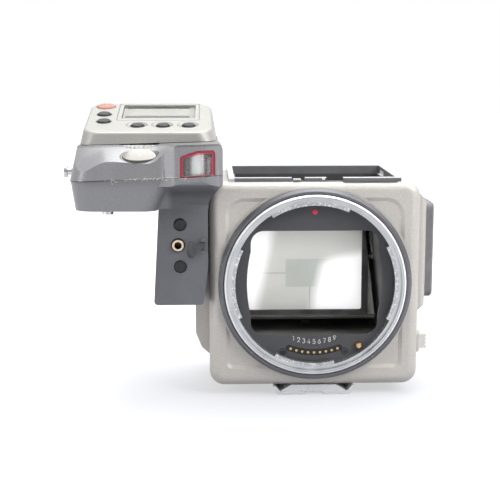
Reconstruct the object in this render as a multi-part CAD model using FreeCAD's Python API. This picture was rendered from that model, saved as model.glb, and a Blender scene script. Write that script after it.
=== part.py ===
"""Medium format film camera body, without its lens, finder, film magazine and battery grip.

Origin: centre of the lens mount's front face. +X is to the right seen from the front,
+Y runs from the mount to the film, +Z is up. All lengths are millimetres.
"""
import FreeCAD
import Part
import math
import os

V = FreeCAD.Vector

# Film gate and mirror box
REGISTER = 61.63
AXIS_TO_MIRROR = 36.03
GATE_W = 56.0
GATE_H = 41.5
GATE_FRAME_THICK = 3.4
GATE_RIM = 0.8
GATE_RIM_W = 2.0
GATE_RIM_REACH = 5.0
LEAF_POCKET = 2.0
LEAF_THICK = 0.5
LEAF_LAP = 0.6
LEAF_EDGE_LAP = 0.2
LEAF_SIDE_LAP = 4.2
BOX_SIDE = 3.0
BOX_WALL = 1.8
BOX_FLOOR = -25.5
BOX_TOP = 29.5
BOX_DECK = 1.5
BOX_REAR = 57.2
FRONT_PLATE_LIP = 0.8
FRONT_PLATE_THICK = 1.5
LEG_X = 14.5
LEG_THICK = 3.0

# Body
SIDE_ROOM = 12.2
TOP_MARGIN = 2.7
BOTTOM_MARGIN = 3.6
FRONT_SET = 4.0
FRONT_WALL = 2.7
COVER_WALL = 1.8
COVER_SPLIT_Y = 24.0
SHELL_REAR = 59.0
CORNER_R = 6.5
EDGE_R = 4.4
PANEL_INSET_X = 7.0
PANEL_INSET_TOP = 6.9
PANEL_INSET_BOTTOM = 7.8
PANEL_DEPTH = 0.8
PANEL_SLOPE = 1.6
PANEL_TOP_R = 8.0
PANEL_BOTTOM_R = 3.2
RIB_THICK = 1.2
RIB_H = 2.5

# Lens mount
RING_MARGIN = 3.8
RING_WIDTH = 2.6
RING_PROUD = 3.0
RING_BEVEL = 1.2
SURROUND_NECK = 0.9
FLANGE_BAND = 1.7
FLANGE_STEP = 1.5
FLANGE_BEVEL = 0.6
FLANGE_DEPTH = 5.5
LUG_REACH = 1.4
LUG_FRONT = 1.5
LUG_THICK = 2.5
LUG_ARCS = ((62.0, 116.0), (166.0, 209.0), (246.0, 296.0), (328.0, 384.0))
THROAT_THICK = 1.2
THROAT_SIDE = 11.3
THROAT_TOP = 15.8
THROAT_BOTTOM = 16.1
THROAT_CORNER_R = 5.5
THROAT_WAVE = 1.6
THROAT_WAVE_H = 28.0
DOT_R = 1.15
DOT_SINK = 0.3
DOT_INSET = 7.8
PIN_COUNT = 9
PIN_PITCH_DEG = 4.9
PIN_INSET = 8.4
PIN_R = 0.55
PIN_PROUD = 0.5
SLOT_HALF_W = 1.4
THROAT_SCREW_INSET = 6.0
THROAT_SCREW_DEG = 24.0
THROAT_SCREW_R = 1.3
LOCK_INSET = 5.35
LOCK_DEG = 35.3
LOCK_R = 1.35
LOCK_BUSH_R = 2.05
LOCK_PROUD = 2.4

# Mirror and its links
MIRROR_SIDE = 2.6
MIRROR_LENGTH = 48.5
MIRROR_LOW_Y = 19.3
MIRROR_UP_Y = 7.9
MIRROR_UP_Z = 24.0
GLASS_THICK = 1.6
TRAY_THICK = 1.6
LINK_ALONG = 33.0
LINK_OFFSET = 12.0
LINK_THICK = 1.0
LINK_PIN_R = 0.75
LINK_SHAFT_R = 1.5
LINK_END_R = 2.6
LINK_TIP_R = 1.9
SUB_ALONG = 32.0
SUB_LENGTH = 14.5
SUB_W = 35.0
SUB_THICK = 1.8
SUB_STANDOFF = 1.0

# Mirror drive gears
GEAR_MODULE = 0.8
SECTOR_TEETH = 40
IDLER_TEETH = 25
PINION_TEETH = 12
GEAR_W = 3.0
GEAR_GAP = 5.2
BACKLASH = 0.12
SECTOR_HUB = 1.0
PINION_LEAN = 8.0
SHAFT_R = 1.2
MOTOR_R = 6.0
MOTOR_LEN = 16.0
MOTOR_SETBACK = 1.0
SENSOR_Y = 47.8

# Finder bay
BAY_SIDE = 3.2
BAY_FRONT = 8.2
BAY_REAR = 54.8
BAY_LIP = 1.0
RAIL_WALL = 2.4
RAIL_MARGIN = 3.0
RAIL_FRONT_RISE = 1.5
RAIL_REAR_RISE = 2.4
RAIL_LEDGE = 1.2
RAIL_DEEP = 4.6
FRONT_BAR = (12.0, 35.0)
FRONT_BAR_H = 1.6
FRONT_NOTCHES = ((-9.9, -4.4), (4.7, 11.9))
FRONT_NOTCH_DEEP = 1.5
CATCH_X = (-9.3, -6.1)
SCREEN_SIDE = 1.5
SCREEN_LEN = 44.0
SCREEN_FRONT = 11.2
SCREEN_THICK = 1.6
SCREEN_MASK = 0.7

# Tripod foot
FOOT_W = 35.6
FOOT_BASE_W = 31.6
FOOT_FRONT = 5.0
FOOT_REAR = 50.0
FOOT_H = 4.2
FOOT_PLATE = 1.5
FOOT_RIM = 1.2
FOOT_CORE_W = 27.6
FOOT_CORE_SLOPE = 4.2
FOOT_NOTCH_W = 8.0
FOOT_NOTCH_H = 1.3
SMALL_THREAD_R = 2.6
LARGE_THREAD_R = 4.0
SMALL_THREAD_Y = 17.5
LARGE_THREAD_Y = 34.0
THREAD_DEPTH = 6.5
BUSH_WALL = 1.5
FOOT_SCREW_X = 10.0
FOOT_SCREW_R = 2.2

# Side covers and controls on the body
SIDE_PROUD = 4.0
SIDE_COVER_TOP = (39.0, 33.7)
SIDE_COVER_BOTTOM = (-14.1, -10.9)
SIDE_COVER_REACH = 3.0
PAD_THICK = 3.7
PAD_TOP = 33.6
PAD_BOTTOM = -8.3
PAD_FRONT = 15.0
PAD_REAR = 52.0
PAD_GROOVES = 8
RELEASE_Z = -26.6
RELEASE_Y = 13.0
RELEASE_H = 6.2
RELEASE_LEN = 8.0
RELEASE_PROUD = 4.4
RELEASE_TRAVEL = 1.5
RELEASE_BEZEL = 1.6
RELEASE_BEZEL_PROUD = 1.2

# Grip column, its X places counted outward from the body's side
COLUMN_FRONT = 2.0
COLUMN_REAR = 40.0
COLUMN_TOP = 32.9
COLUMN_BOTTOM = -8.2
COLUMN_GAP = 0.4
COLUMN_W = 20.6
COLUMN_W_BOTTOM = 20.9
COLUMN_LEAN = 2.1
COLUMN_BUTTON_R = 2.5
MIRROR_BUTTON_AT = (12.1, 26.2)
STOP_BUTTON_AT = (12.1, 8.3)
SYNC_AT = (13.0, 17.5)
SYNC_R = 3.0
SYNC_BORE_R = 1.5
SYNC_DEPTH = 5.0
SYNC_PROUD = 1.4
CAP_R = 3.5
CAP_GAP = 0.15
CAP_THICK = 1.5
CAP_HINGE_OUT = 2.5
CAP_OPEN_DEG = 65.0
GRIP_SIDE_PROUD = 6.0
GRIP_SIDE_TOP = 30.0
GRIP_SIDE_STEPS = (-33.1, -30.1, -23.6)
GRIP_SIDE_SETBACK = 14.0

# Grip head, its X places counted outward from the body's side
HEAD_OUT = 56.7
HEAD_OVER = 5.8
HEAD_BACK = 45.0
HEAD_BOTTOM = 32.9
HEAD_SPLIT = 46.75
SPLIT_TILT = 3.0
HEAD_SHOULDER = 60.2
SHOULDER_TILT = 1.5
HEAD_DRAFT = 0.23
HEAD_CORNER_R = 9.0
HEAD_BACK_R = 5.0
WALL_FRONT_LEFT = -8.9
WALL_FRONT_RIGHT = -12.7
WALL_DRAFT = 0.09
SHELL_WALL = 1.6
SHELF_SLOPE = 32.4
SHELF_RISE = 0.8
SHELF_TOP_Y = 1.5
SHELF_LENGTH = 19.5
SHELF_LIFT = 13.3
SHELF_LIFT_OUT = 26.0
SHELF_LIFT_W = 17.0
SCOOP_OUT = 41.0
SCOOP_DEEP = 1.3
HUMP_OUT = 17.6
HUMP_FRONT = -15.2
HUMP_TOP_R = 3.2
LAMP_OUT = (-2.7, 11.5)
LAMP_BELOW = 1.7
LAMP_DROP = 2.7
LED_H = 7.0
LED_BELOW_TOP = 2.875
LED_EYE_DOWN = 3.0
GUIDE_POST_AT = (42.8, 10.0)
GUIDE_POST_LEN = 3.1
STUD_Y = 20.0
STUD_Z = 47.1
STUD_R = 1.5
STUD_REACH = 5.2
RELEASE_BUTTON_AT = (28.1, -7.0)
RELEASE_BUTTON_R = (6.8, 3.95)
RELEASE_BUTTON_RISE = 1.1
RELEASE_BUTTON_STEM = 4.0
WHEEL_R = 14.0
WHEEL_THICK = 2.3
WHEEL_PROUD = 2.2
WHEEL_DROP = 0.6
WHEEL_OUT = 28.4
WHEEL_PIN_R = 2.0
FRAME_THICK = 1.5
REAR_PIN_R = 1.5
REAR_WHEEL_R = 9.0
REAR_WHEEL_THICK = 4.0
REAR_WHEEL_OUT = 27.0
REAR_WHEEL_BELOW = 10.2
REAR_WHEEL_PROUD = 2.4
REAR_COVER_THICK = 1.6
REAR_BUTTON_OUT = 9.0
REAR_BUTTON_R = 3.0
REAR_TRAVEL = 0.5

# Top cover, its X places counted outward from the body's side
DECK_FRONT_Y = 0.6
DECK_RISE = 4.6
DECK_SLOPE = 13.4
DECK_LENGTH = 46.2
DECK_CORNER_R = 7.4
DECK_BACK_R = 9.5
DECK_OUT = 51.8
DECK_OVER = 1.4
DECK_EDGE_R = 1.4
SKIRT_OUT = 53.9
SKIRT_OVER = 4.2
SKIRT_BACK = 46.6
SKIRT_R = 5.5
SKIRT_GAP = 0.2
LCD_OUT = (37.3, 5.6)
LCD_S = (21.2, 42.2)
LCD_SINK = 0.8
LCD_GLASS = 0.6
LCD_GROOVE = (1.9, 3.4)
LCD_GROOVE_W = 0.3
POWER_AT = (45.2, 39.8)
POWER_R = 4.0
SIDE_BUTTONS_AT = ((45.0, 27.2), (44.3, 16.2))
SIDE_BUTTON_R = 3.0
FRONT_BUTTON_OUT = 29.8
FRONT_BUTTON_PITCH = 10.75
FRONT_BUTTON_S = 11.2
FRONT_BUTTON_R = 2.9
DISH_BALL_R = 12.0
DISH_SINK = 0.85

# Clearances
SLIDE_GAP = 0.25
SHAFT_GAP = 0.05
SEAT_GAP = 0.3
FIT_GAP = 0.1
FRONT_CUT = 20.0

# Places that follow from the sizes above
BOX_W = GATE_W + 2 * BOX_SIDE
WALL_X = BOX_W / 2 + BOX_WALL
HALF_W = WALL_X + SIDE_ROOM
RING_R = HALF_W - RING_MARGIN
BODY_TOP = RING_R + TOP_MARGIN
BODY_BOTTOM = -RING_R - BOTTOM_MARGIN
FRONT_PLATE_R = RING_R + FRONT_PLATE_LIP
FLANGE_R = RING_R - RING_WIDTH
FLANGE_BORE_R = FLANGE_R - FLANGE_BAND
FLANGE_STEP_R = FLANGE_BORE_R - FLANGE_STEP
LUG_R = FLANGE_STEP_R - LUG_REACH
NECK_R = FLANGE_R + SURROUND_NECK
THROAT_BACK = FLANGE_DEPTH + THROAT_THICK
PIN_ARC_R = FLANGE_R - PIN_INSET
DOT_HEIGHT = FLANGE_R - DOT_INSET
SCREEN_Z = REGISTER - AXIS_TO_MIRROR
SCREEN_W = BOX_W - 2 * SCREEN_SIDE
MIRROR_W = BOX_W - 2 * MIRROR_SIDE
LEAF_W = GATE_W + 2 * LEAF_SIDE_LAP
BAY_W = BOX_W + 2 * BAY_SIDE
RAIL_FRAME_W = BAY_W + 2 * RAIL_WALL
RAIL_FRONT_TOP = BODY_TOP + RAIL_FRONT_RISE
RAIL_REAR_TOP = BODY_TOP + RAIL_REAR_RISE
BAY_FLOOR = BOX_TOP + BOX_DECK
FOOT_BOTTOM = BODY_BOTTOM - FOOT_H
SIDE_X = HALF_W + SIDE_PROUD
GRIP_SIDE_X = -HALF_W - GRIP_SIDE_PROUD
MOTOR_FACE = -HALF_W - MOTOR_SETBACK
SUB_BEHIND = GLASS_THICK + TRAY_THICK + SUB_STANDOFF
COLUMN_RIGHT_TOP = -HALF_W - COLUMN_GAP
COLUMN_LEFT_TOP = COLUMN_RIGHT_TOP - COLUMN_W
COLUMN_RIGHT_BOTTOM = COLUMN_RIGHT_TOP - COLUMN_LEAN
COLUMN_LEFT_BOTTOM = COLUMN_RIGHT_BOTTOM - COLUMN_W_BOTTOM
CAP_HINGE_X = -HALF_W - CAP_HINGE_OUT
HEAD_LEFT = -HALF_W - HEAD_OUT
HEAD_RIGHT = -HALF_W + HEAD_OVER
HEAD_MID_X = (HEAD_LEFT + HEAD_RIGHT) / 2
HUMP_LEFT = -HALF_W - HUMP_OUT
SHELF_TOP = HEAD_SHOULDER + SHELF_RISE
LAMP_TOP = HEAD_SHOULDER - LAMP_BELOW
REAR_WHEEL_Z = HEAD_SHOULDER - REAR_WHEEL_BELOW
DECK_FRONT_Z = HEAD_SHOULDER + DECK_RISE
WHEEL_X = -HALF_W - WHEEL_OUT
REAR_WHEEL_X = -HALF_W - REAR_WHEEL_OUT
DECK_LEFT = -HALF_W - DECK_OUT
DECK_RIGHT = -HALF_W + DECK_OVER
SKIRT_LEFT = -HALF_W - SKIRT_OUT
SKIRT_RIGHT = -HALF_W + SKIRT_OVER
LCD_X = (-HALF_W - LCD_OUT[0], -HALF_W - LCD_OUT[1])
ROOT2 = math.sqrt(0.5)


def beside_body(place):
    """Place counted outward from the body's side, as X and the other coordinate."""
    return -HALF_W - place[0], place[1]


MIRROR_BUTTON = beside_body(MIRROR_BUTTON_AT)
STOP_BUTTON = beside_body(STOP_BUTTON_AT)
SYNC_PLACE = beside_body(SYNC_AT)
GUIDE_POST = beside_body(GUIDE_POST_AT)
REAR_BUTTON = beside_body((REAR_BUTTON_OUT, REAR_WHEEL_Z))
POWER_PLACE = beside_body(POWER_AT)
SIDE_BUTTONS = tuple(beside_body(place) for place in SIDE_BUTTONS_AT)
FRONT_BUTTONS = tuple(beside_body((FRONT_BUTTON_OUT - i * FRONT_BUTTON_PITCH, FRONT_BUTTON_S))
                      for i in range(3))


def box(x0, x1, y0, y1, z0, z1):
    """Block between two corners."""
    return Part.makeBox(x1 - x0, y1 - y0, z1 - z0, V(x0, y0, z0))


def rod_x(y, z, r, x0, x1):
    return Part.makeCylinder(r, x1 - x0, V(x0, y, z), V(1, 0, 0))


def rod_y(x, z, r, y0, y1):
    return Part.makeCylinder(r, y1 - y0, V(x, y0, z), V(0, 1, 0))


def rod_z(x, y, r, z0, z1):
    return Part.makeCylinder(r, z1 - z0, V(x, y, z0), V(0, 0, 1))


def tube_y(r_out, r_in, y0, y1):
    """Ring about the lens axis."""
    return rod_y(0, 0, r_out, y0, y1).cut(rod_y(0, 0, r_in, y0 - 1, y1 + 1))


def front_view(y):
    """Maps a front-view point to space at the depth y."""
    return lambda a, b: V(a, y, b)


def side_view(x):
    """Maps a side-view point, depth then height, to space at x."""
    return lambda a, b: V(x, a, b)


def plan_view(z):
    """Maps a plan-view point to space at the height z."""
    return lambda a, b: V(a, b, z)


def outline(points, radii, place):
    """Closed wire through corner points, each corner rounded by a tangent arc."""
    count = len(points)
    if not isinstance(radii, (list, tuple)):
        radii = [radii] * count
    corners = []
    for i, (a, b) in enumerate(points):
        pa, pb = points[i - 1]
        na, nb = points[(i + 1) % count]
        back = V(pa - a, pb - b, 0).normalize()
        ahead = V(na - a, nb - b, 0).normalize()
        turn = back.getAngle(ahead)
        reach = radii[i] / math.tan(turn / 2)
        mid = (back + ahead).normalize()
        deep = radii[i] / math.sin(turn / 2) - radii[i]
        here = V(a, b, 0)
        corners.append((here + back * reach, here + mid * deep, here + ahead * reach))
    edges = []
    for i, (start, middle, end) in enumerate(corners):
        a, m, b = (place(p.x, p.y) for p in (start, middle, end))
        if radii[i] > 0:
            edges.append(Part.Arc(a, m, b).toShape())
        after = corners[(i + 1) % count][0]
        c = place(after.x, after.y)
        if b.distanceToPoint(c) > 1e-6:
            edges.append(Part.LineSegment(b, c).toShape())
    return Part.Wire(edges)


def rectangle(a0, a1, b0, b1):
    return [(a0, b0), (a1, b0), (a1, b1), (a0, b1)]


def prism(wire, direction):
    return Part.Face(wire).extrude(direction)


def plate_y(points, radii, y0, y1):
    """Plate of a front-view outline between two depths."""
    return prism(outline(points, radii, front_view(y0)), V(0, y1 - y0, 0))


def plate_x(points, radii, x0, x1):
    """Plate of a side-view outline between two X places."""
    return prism(outline(points, radii, side_view(x0)), V(x1 - x0, 0, 0))


def plate_z(points, radii, z0, z1):
    """Plate of a plan-view outline between two heights."""
    return prism(outline(points, radii, plan_view(z0)), V(0, 0, z1 - z0))


def fuse(shapes):
    whole = shapes[0]
    for shape in shapes[1:]:
        whole = whole.fuse(shape)
    return whole.removeSplitter()


def cut(shape, tools):
    for tool in tools:
        shape = shape.cut(tool)
    return shape


def edges_at_y(shape, y):
    """Edges that lie wholly in the plane of constant y."""
    return [e for e in shape.Edges if abs(e.BoundBox.YMin - y) < 1e-4 and abs(e.BoundBox.YMax - y) < 1e-4]


def turned_x(shape, centre_y, centre_z, degrees):
    """Copy turned about an axis along X."""
    copy = shape.copy()
    copy.rotate(V(0, centre_y, centre_z), V(1, 0, 0), degrees)
    return copy


def on_deck(shape):
    """Carries a piece from the flat deck frame, where y is the way up the slope, to its tilted place."""
    copy = shape.copy()
    copy.translate(V(0, DECK_FRONT_Y, DECK_FRONT_Z))
    return turned_x(copy, DECK_FRONT_Y, DECK_FRONT_Z, DECK_SLOPE)


def deck_box(x0, x1, s0, s1, z0, z1):
    return on_deck(box(x0, x1, s0, s1, z0, z1))


def deck_rod(x, s, r, z0, z1):
    return on_deck(rod_z(x, s, r, z0, z1))


# Lens mount

def bayonet_flange():
    """Bayonet ring with a bevelled rim and a stepped bore; the lugs stand on the step."""
    profile = [(FLANGE_BORE_R, 0), (FLANGE_R - FLANGE_BEVEL, 0),
               (FLANGE_R, FLANGE_BEVEL), (FLANGE_R, FLANGE_DEPTH),
               (FLANGE_STEP_R, FLANGE_DEPTH), (FLANGE_STEP_R, LUG_FRONT), (FLANGE_BORE_R, LUG_FRONT)]
    band = tube_y(FLANGE_STEP_R + FLANGE_STEP / 2, LUG_R, LUG_FRONT, LUG_FRONT + LUG_THICK)
    return fuse([turned_y(profile)] + [band.common(wedge(start, end)) for start, end in LUG_ARCS])


def wedge(start, end):
    """Pie slice about the lens axis; angles run clockwise from the top, seen from the front."""
    reach = RING_R + 5
    a0, a1 = math.radians(start), math.radians(end)
    mid = (a0 + a1) / 2
    tip = V(0, LUG_FRONT, 0)
    p0 = V(reach * math.sin(a0), LUG_FRONT, reach * math.cos(a0))
    pm = V(reach * math.sin(mid), LUG_FRONT, reach * math.cos(mid))
    p1 = V(reach * math.sin(a1), LUG_FRONT, reach * math.cos(a1))
    edges = [Part.LineSegment(tip, p0).toShape(), Part.Arc(p0, pm, p1).toShape(),
             Part.LineSegment(p1, tip).toShape()]
    return prism(Part.Wire(edges), V(0, LUG_THICK, 0))


def mount_surround_ring():
    """Dark ring: a lip over the front cover and a neck through its hole, turned as one profile."""
    lip_front = FRONT_SET - RING_PROUD
    inner = FLANGE_R + SHAFT_GAP
    soft = RING_BEVEL / 2
    return turned_y([(inner, lip_front + soft), (inner + soft, lip_front), (RING_R - RING_BEVEL, lip_front),
                     (RING_R, lip_front + RING_BEVEL), (RING_R, FRONT_SET), (NECK_R, FRONT_SET),
                     (NECK_R, THROAT_BACK), (inner, THROAT_BACK)])


def turned_y(profile):
    """Solid of revolution about the lens axis from points of radius and depth."""
    points = [V(r, y, 0) for r, y in profile]
    face = Part.Face(Part.makePolygon(points + points[:1]))
    return face.revolve(V(0, 0, 0), V(0, 1, 0), 360)


def on_throat(inset, degrees):
    """Place below the lens axis at an inset from the flange's rim, turned to the right by the angle."""
    reach = FLANGE_R - inset
    turn = math.radians(degrees)
    return reach * math.sin(turn), -reach * math.cos(turn)


def throat_opening(grow, y0, y1):
    """Light opening: straight above and below, with a shallow outward wave in each side."""
    side = FLANGE_R - THROAT_SIDE + grow
    plan = rectangle(-side, side, -FLANGE_R + THROAT_BOTTOM - grow, FLANGE_R - THROAT_TOP + grow)
    wave_r = (THROAT_WAVE ** 2 + (THROAT_WAVE_H / 2) ** 2) / (2 * THROAT_WAVE)
    reach = side + THROAT_WAVE
    wave = box(-reach, reach, y0, y1, -THROAT_WAVE_H / 2, THROAT_WAVE_H / 2)
    for s in (-1, 1):
        wave = wave.common(rod_y(s * (reach - wave_r), 0, wave_r, y0, y1))
    return plate_y(plan, THROAT_CORNER_R + grow, y0, y1).fuse(wave)


def contact_slot(grow, y0, y1):
    """Curved slot along the pin arc with round ends."""
    half = math.radians(PIN_PITCH_DEG * (PIN_COUNT - 1) / 2 + 1.4)
    outer = PIN_ARC_R + SLOT_HALF_W + grow
    inner = PIN_ARC_R - SLOT_HALF_W - grow
    edges = []
    for r, s0, s1 in ((outer, -half, half), (inner, half, -half)):
        pts = [V(r * math.sin(t), y0, -r * math.cos(t)) for t in (s0, 0, s1)]
        edges.append(Part.Arc(*pts).toShape())
    for s, near, far in ((half, outer, inner), (-half, inner, outer)):
        a = V(near * math.sin(s), y0, -near * math.cos(s))
        b = V(far * math.sin(s), y0, -far * math.cos(s))
        out = math.copysign(SLOT_HALF_W + grow, s)
        c = V(PIN_ARC_R * math.sin(s) + out * math.cos(s), y0, -PIN_ARC_R * math.cos(s) + out * math.sin(s))
        edges.append(Part.Arc(a, c, b).toShape())
    return prism(Part.Wire(Part.__sortEdges__(edges)), V(0, y1 - y0, 0))


def lock_place():
    return on_throat(LOCK_INSET, LOCK_DEG)


def throat_screw_places():
    return [on_throat(THROAT_SCREW_INSET, s * THROAT_SCREW_DEG) for s in (-1, 1)]


def throat_plate():
    x, z = lock_place()
    disc = rod_y(0, 0, FLANGE_R, FLANGE_DEPTH, THROAT_BACK)
    bush = rod_y(x, z, LOCK_BUSH_R, FLANGE_DEPTH - 0.6, THROAT_BACK + FRONT_PLATE_THICK)
    holes = [throat_opening(0, 0, 20), contact_slot(0, 0, 20),
             rod_y(0, DOT_HEIGHT, DOT_R, 0, FLANGE_DEPTH + DOT_SINK), rod_y(x, z, LOCK_R + SHAFT_GAP, 0, 20)]
    holes += [rod_y(sx, sz, THROAT_SCREW_R, 0, 20) for sx, sz in throat_screw_places()]
    return cut(fuse([disc, bush]), holes)


def throat_screws():
    screws = []
    arm, slit = THROAT_SCREW_R * 0.75, 0.2
    for x, z in throat_screw_places():
        head = rod_y(x, z, THROAT_SCREW_R, FLANGE_DEPTH - 0.1, THROAT_BACK)
        shank = rod_y(x, z, THROAT_SCREW_R / 2, THROAT_BACK, THROAT_BACK + FRONT_PLATE_THICK)
        cross = box(x - arm, x + arm, 0, FLANGE_DEPTH + 0.5, z - slit, z + slit)
        cross = cross.fuse(box(x - slit, x + slit, 0, FLANGE_DEPTH + 0.5, z - arm, z + arm))
        screws.append(head.fuse(shank).cut(cross))
    return screws


def pin_places():
    """Centres of the lens contact pins on their arc."""
    places = []
    for i in range(PIN_COUNT):
        t = math.radians(PIN_PITCH_DEG * (i - (PIN_COUNT - 1) / 2))
        places.append((PIN_ARC_R * math.sin(t), -PIN_ARC_R * math.cos(t)))
    return places


def lens_contact_block():
    block = contact_slot(0, FLANGE_DEPTH + 0.4, THROAT_BACK + FRONT_PLATE_THICK)
    return cut(block, [rod_y(x, z, PIN_R, 0, 20) for x, z in pin_places()])


def lens_contact_pins():
    pins = []
    for x, z in pin_places():
        pin = rod_y(x, z, PIN_R, FLANGE_DEPTH - PIN_PROUD, THROAT_BACK + FRONT_PLATE_THICK)
        pins.append(pin)
    return Part.makeCompound(pins)


def lens_lock_pin():
    x, z = lock_place()
    nose_y = FLANGE_DEPTH - LOCK_PROUD
    pin = rod_y(x, z, LOCK_R, nose_y, THROAT_BACK + FRONT_PLATE_THICK + 4.6)
    return pin.makeChamfer(LOCK_R * 0.4, edges_at_y(pin, nose_y))


# Body covers

def body_outline(inset, y0, y1):
    plan = rectangle(-HALF_W + inset, HALF_W - inset, BODY_BOTTOM + inset, BODY_TOP - inset)
    return plate_y(plan, CORNER_R - inset, y0, y1)


def panel_recess():
    """Shallow panel pressed into the front face, with sloping sides and wider top corners."""
    wires = []
    for y, grow in ((FRONT_SET - PANEL_DEPTH / 2, PANEL_SLOPE / 2), (FRONT_SET + PANEL_DEPTH, -PANEL_SLOPE)):
        side = HALF_W - PANEL_INSET_X + grow
        low, high = BODY_BOTTOM + PANEL_INSET_BOTTOM - grow, BODY_TOP - PANEL_INSET_TOP + grow
        plan = rectangle(-side, side, low, high)
        radii = [PANEL_BOTTOM_R + grow] * 2 + [PANEL_TOP_R + grow] * 2
        wires.append(outline(plan, radii, front_view(y)))
    pocket = Part.makeLoft(wires, True, True)
    return pocket.cut(rod_y(0, 0, RING_R + 0.9, -10, 20))


def release_window(grow):
    half = RELEASE_LEN / 2 + grow
    return box(HALF_W - 6, HALF_W + 10, RELEASE_Y - half, RELEASE_Y + half,
               RELEASE_Z - RELEASE_H / 2 - grow, RELEASE_Z + RELEASE_H / 2 + grow)


def bay_cutter(y0, y1):
    side = RAIL_FRAME_W / 2
    return box(-side, side, y0, y1, BAY_FLOOR, BODY_TOP + 10)


def front_cover():
    blank = body_outline(0, FRONT_SET, COVER_SPLIT_Y)
    blank = blank.makeFillet(EDGE_R, edges_at_y(blank, FRONT_SET))
    hollow = body_outline(COVER_WALL, FRONT_SET + FRONT_WALL, COVER_SPLIT_Y + 1)
    hole = rod_y(0, 0, NECK_R + FIT_GAP, 0, 20)
    body = cut(blank, [hollow, hole, panel_recess(), bay_cutter(THROAT_BACK, COVER_SPLIT_Y + 1)])
    return cut(body.fuse(release_bezel()), [release_window(SLIDE_GAP), foot_bush_ways()])


def release_bezel():
    """Raised border round the lens release."""
    reach_y = RELEASE_LEN / 2 + RELEASE_BEZEL
    reach_z = RELEASE_H / 2 + RELEASE_BEZEL
    outer = HALF_W + RELEASE_BEZEL_PROUD
    plan = rectangle(RELEASE_Y - reach_y, RELEASE_Y + reach_y, RELEASE_Z - reach_z, RELEASE_Z + reach_z)
    bezel = plate_x(plan, RELEASE_BEZEL, HALF_W - COVER_WALL / 2, outer)
    rim = [e for e in bezel.Edges if e.BoundBox.XMin > outer - 1e-4]
    return bezel.makeChamfer(RELEASE_BEZEL_PROUD / 2, rim)


def foot_bush_ways():
    """Holes in the floor for the foot's two screw bushes."""
    ways = []
    for y, r in ((SMALL_THREAD_Y, SMALL_THREAD_R), (LARGE_THREAD_Y, LARGE_THREAD_R)):
        ways.append(rod_z(0, y, r + BUSH_WALL + SEAT_GAP, BODY_BOTTOM - 1, BODY_BOTTOM + COVER_WALL + 1))
    return Part.makeCompound(ways)


def main_shell():
    """Rear shell: sides and floor in one, ribbed inside the floor and open at the finder bay."""
    blank = body_outline(0, COVER_SPLIT_Y, SHELL_REAR)
    hollow = body_outline(COVER_WALL, COVER_SPLIT_Y - 1, SHELL_REAR + 1)
    y, z = pinion_centre()
    shaft = rod_x(y, z, SHAFT_R + 1, -HALF_W - 1, -HALF_W + COVER_WALL + 1)
    shell = cut(blank, [hollow, bay_cutter(COVER_SPLIT_Y - 1, SHELL_REAR + 1), shaft, foot_bush_ways()])
    floor = BODY_BOTTOM + COVER_WALL
    pitch = (SHELL_REAR - COVER_SPLIT_Y) / 4
    ribs = []
    for side in (-1, 1):
        inner, outer = sorted((side * (LEG_X + LEG_THICK), side * (HALF_W - CORNER_R)))
        for i in (1, 2, 3):
            y = COVER_SPLIT_Y + i * pitch - RIB_THICK
            ribs.append(box(inner, outer, y, y + RIB_THICK, floor - 0.5, floor + RIB_H))
    return fuse([shell] + ribs)


def side_cover():
    """Cover on the far side: a flat plate whose top and bottom slope back to the body."""
    top_in, top_out = SIDE_COVER_TOP
    low_in, low_out = SIDE_COVER_BOTTOM
    y0, y1 = PAD_FRONT - SIDE_COVER_REACH, PAD_REAR + SIDE_COVER_REACH
    profile = [(HALF_W, top_in), (SIDE_X, top_out), (SIDE_X, low_out), (HALF_W, low_in)]
    plate = plate_y(profile, [0, 2.5, 2.5, 0], y0, y1)
    ends = plate_z(rectangle(HALF_W - 1, SIDE_X, y0, y1), [0, 2.2, 2.2, 0], low_in - 5, top_in + 5)
    return plate.common(ends)


def side_pad():
    """Rubber pad with shallow grip grooves."""
    outer = SIDE_X + PAD_THICK
    pad = plate_x(rectangle(PAD_FRONT, PAD_REAR, PAD_BOTTOM, PAD_TOP), 3.0, SIDE_X, outer)
    pad = pad.makeChamfer(0.8, [e for e in pad.Edges if e.BoundBox.XMin > outer - 1e-4])
    grooves = []
    pitch = (PAD_TOP - PAD_BOTTOM - 6) / (PAD_GROOVES - 1)
    for i in range(PAD_GROOVES):
        z = PAD_BOTTOM + 3 + i * pitch
        grooves.append(box(outer - 0.5, outer + 1, PAD_FRONT + 3, PAD_REAR - 3, z - 0.4, z + 0.4))
    return cut(pad, grooves)


def grip_side_cover():
    """Cover between the body and the grip column, stepped back at the bottom."""
    low, middle, high = GRIP_SIDE_STEPS
    profile = [(-HALF_W, GRIP_SIDE_TOP), (-HALF_W, low), (GRIP_SIDE_X + 2.6, middle), (GRIP_SIDE_X, high),
               (GRIP_SIDE_X, GRIP_SIDE_TOP)]
    front, rear = COLUMN_FRONT + GRIP_SIDE_SETBACK, SHELL_REAR - 7
    plate = plate_y(profile, [0, 0, 2, 3, 0], front, rear)
    room = box(GRIP_SIDE_X + COVER_WALL, -HALF_W + 1, front + COVER_WALL, rear - COVER_WALL,
               middle + COVER_WALL,
               GRIP_SIDE_TOP - COVER_WALL)
    y, z = pinion_centre()
    return cut(plate, [room, rod_x(y, z, MOTOR_R + SEAT_GAP, GRIP_SIDE_X - 1, -HALF_W + 1)])


# Mirror box, screen and film gate

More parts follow.
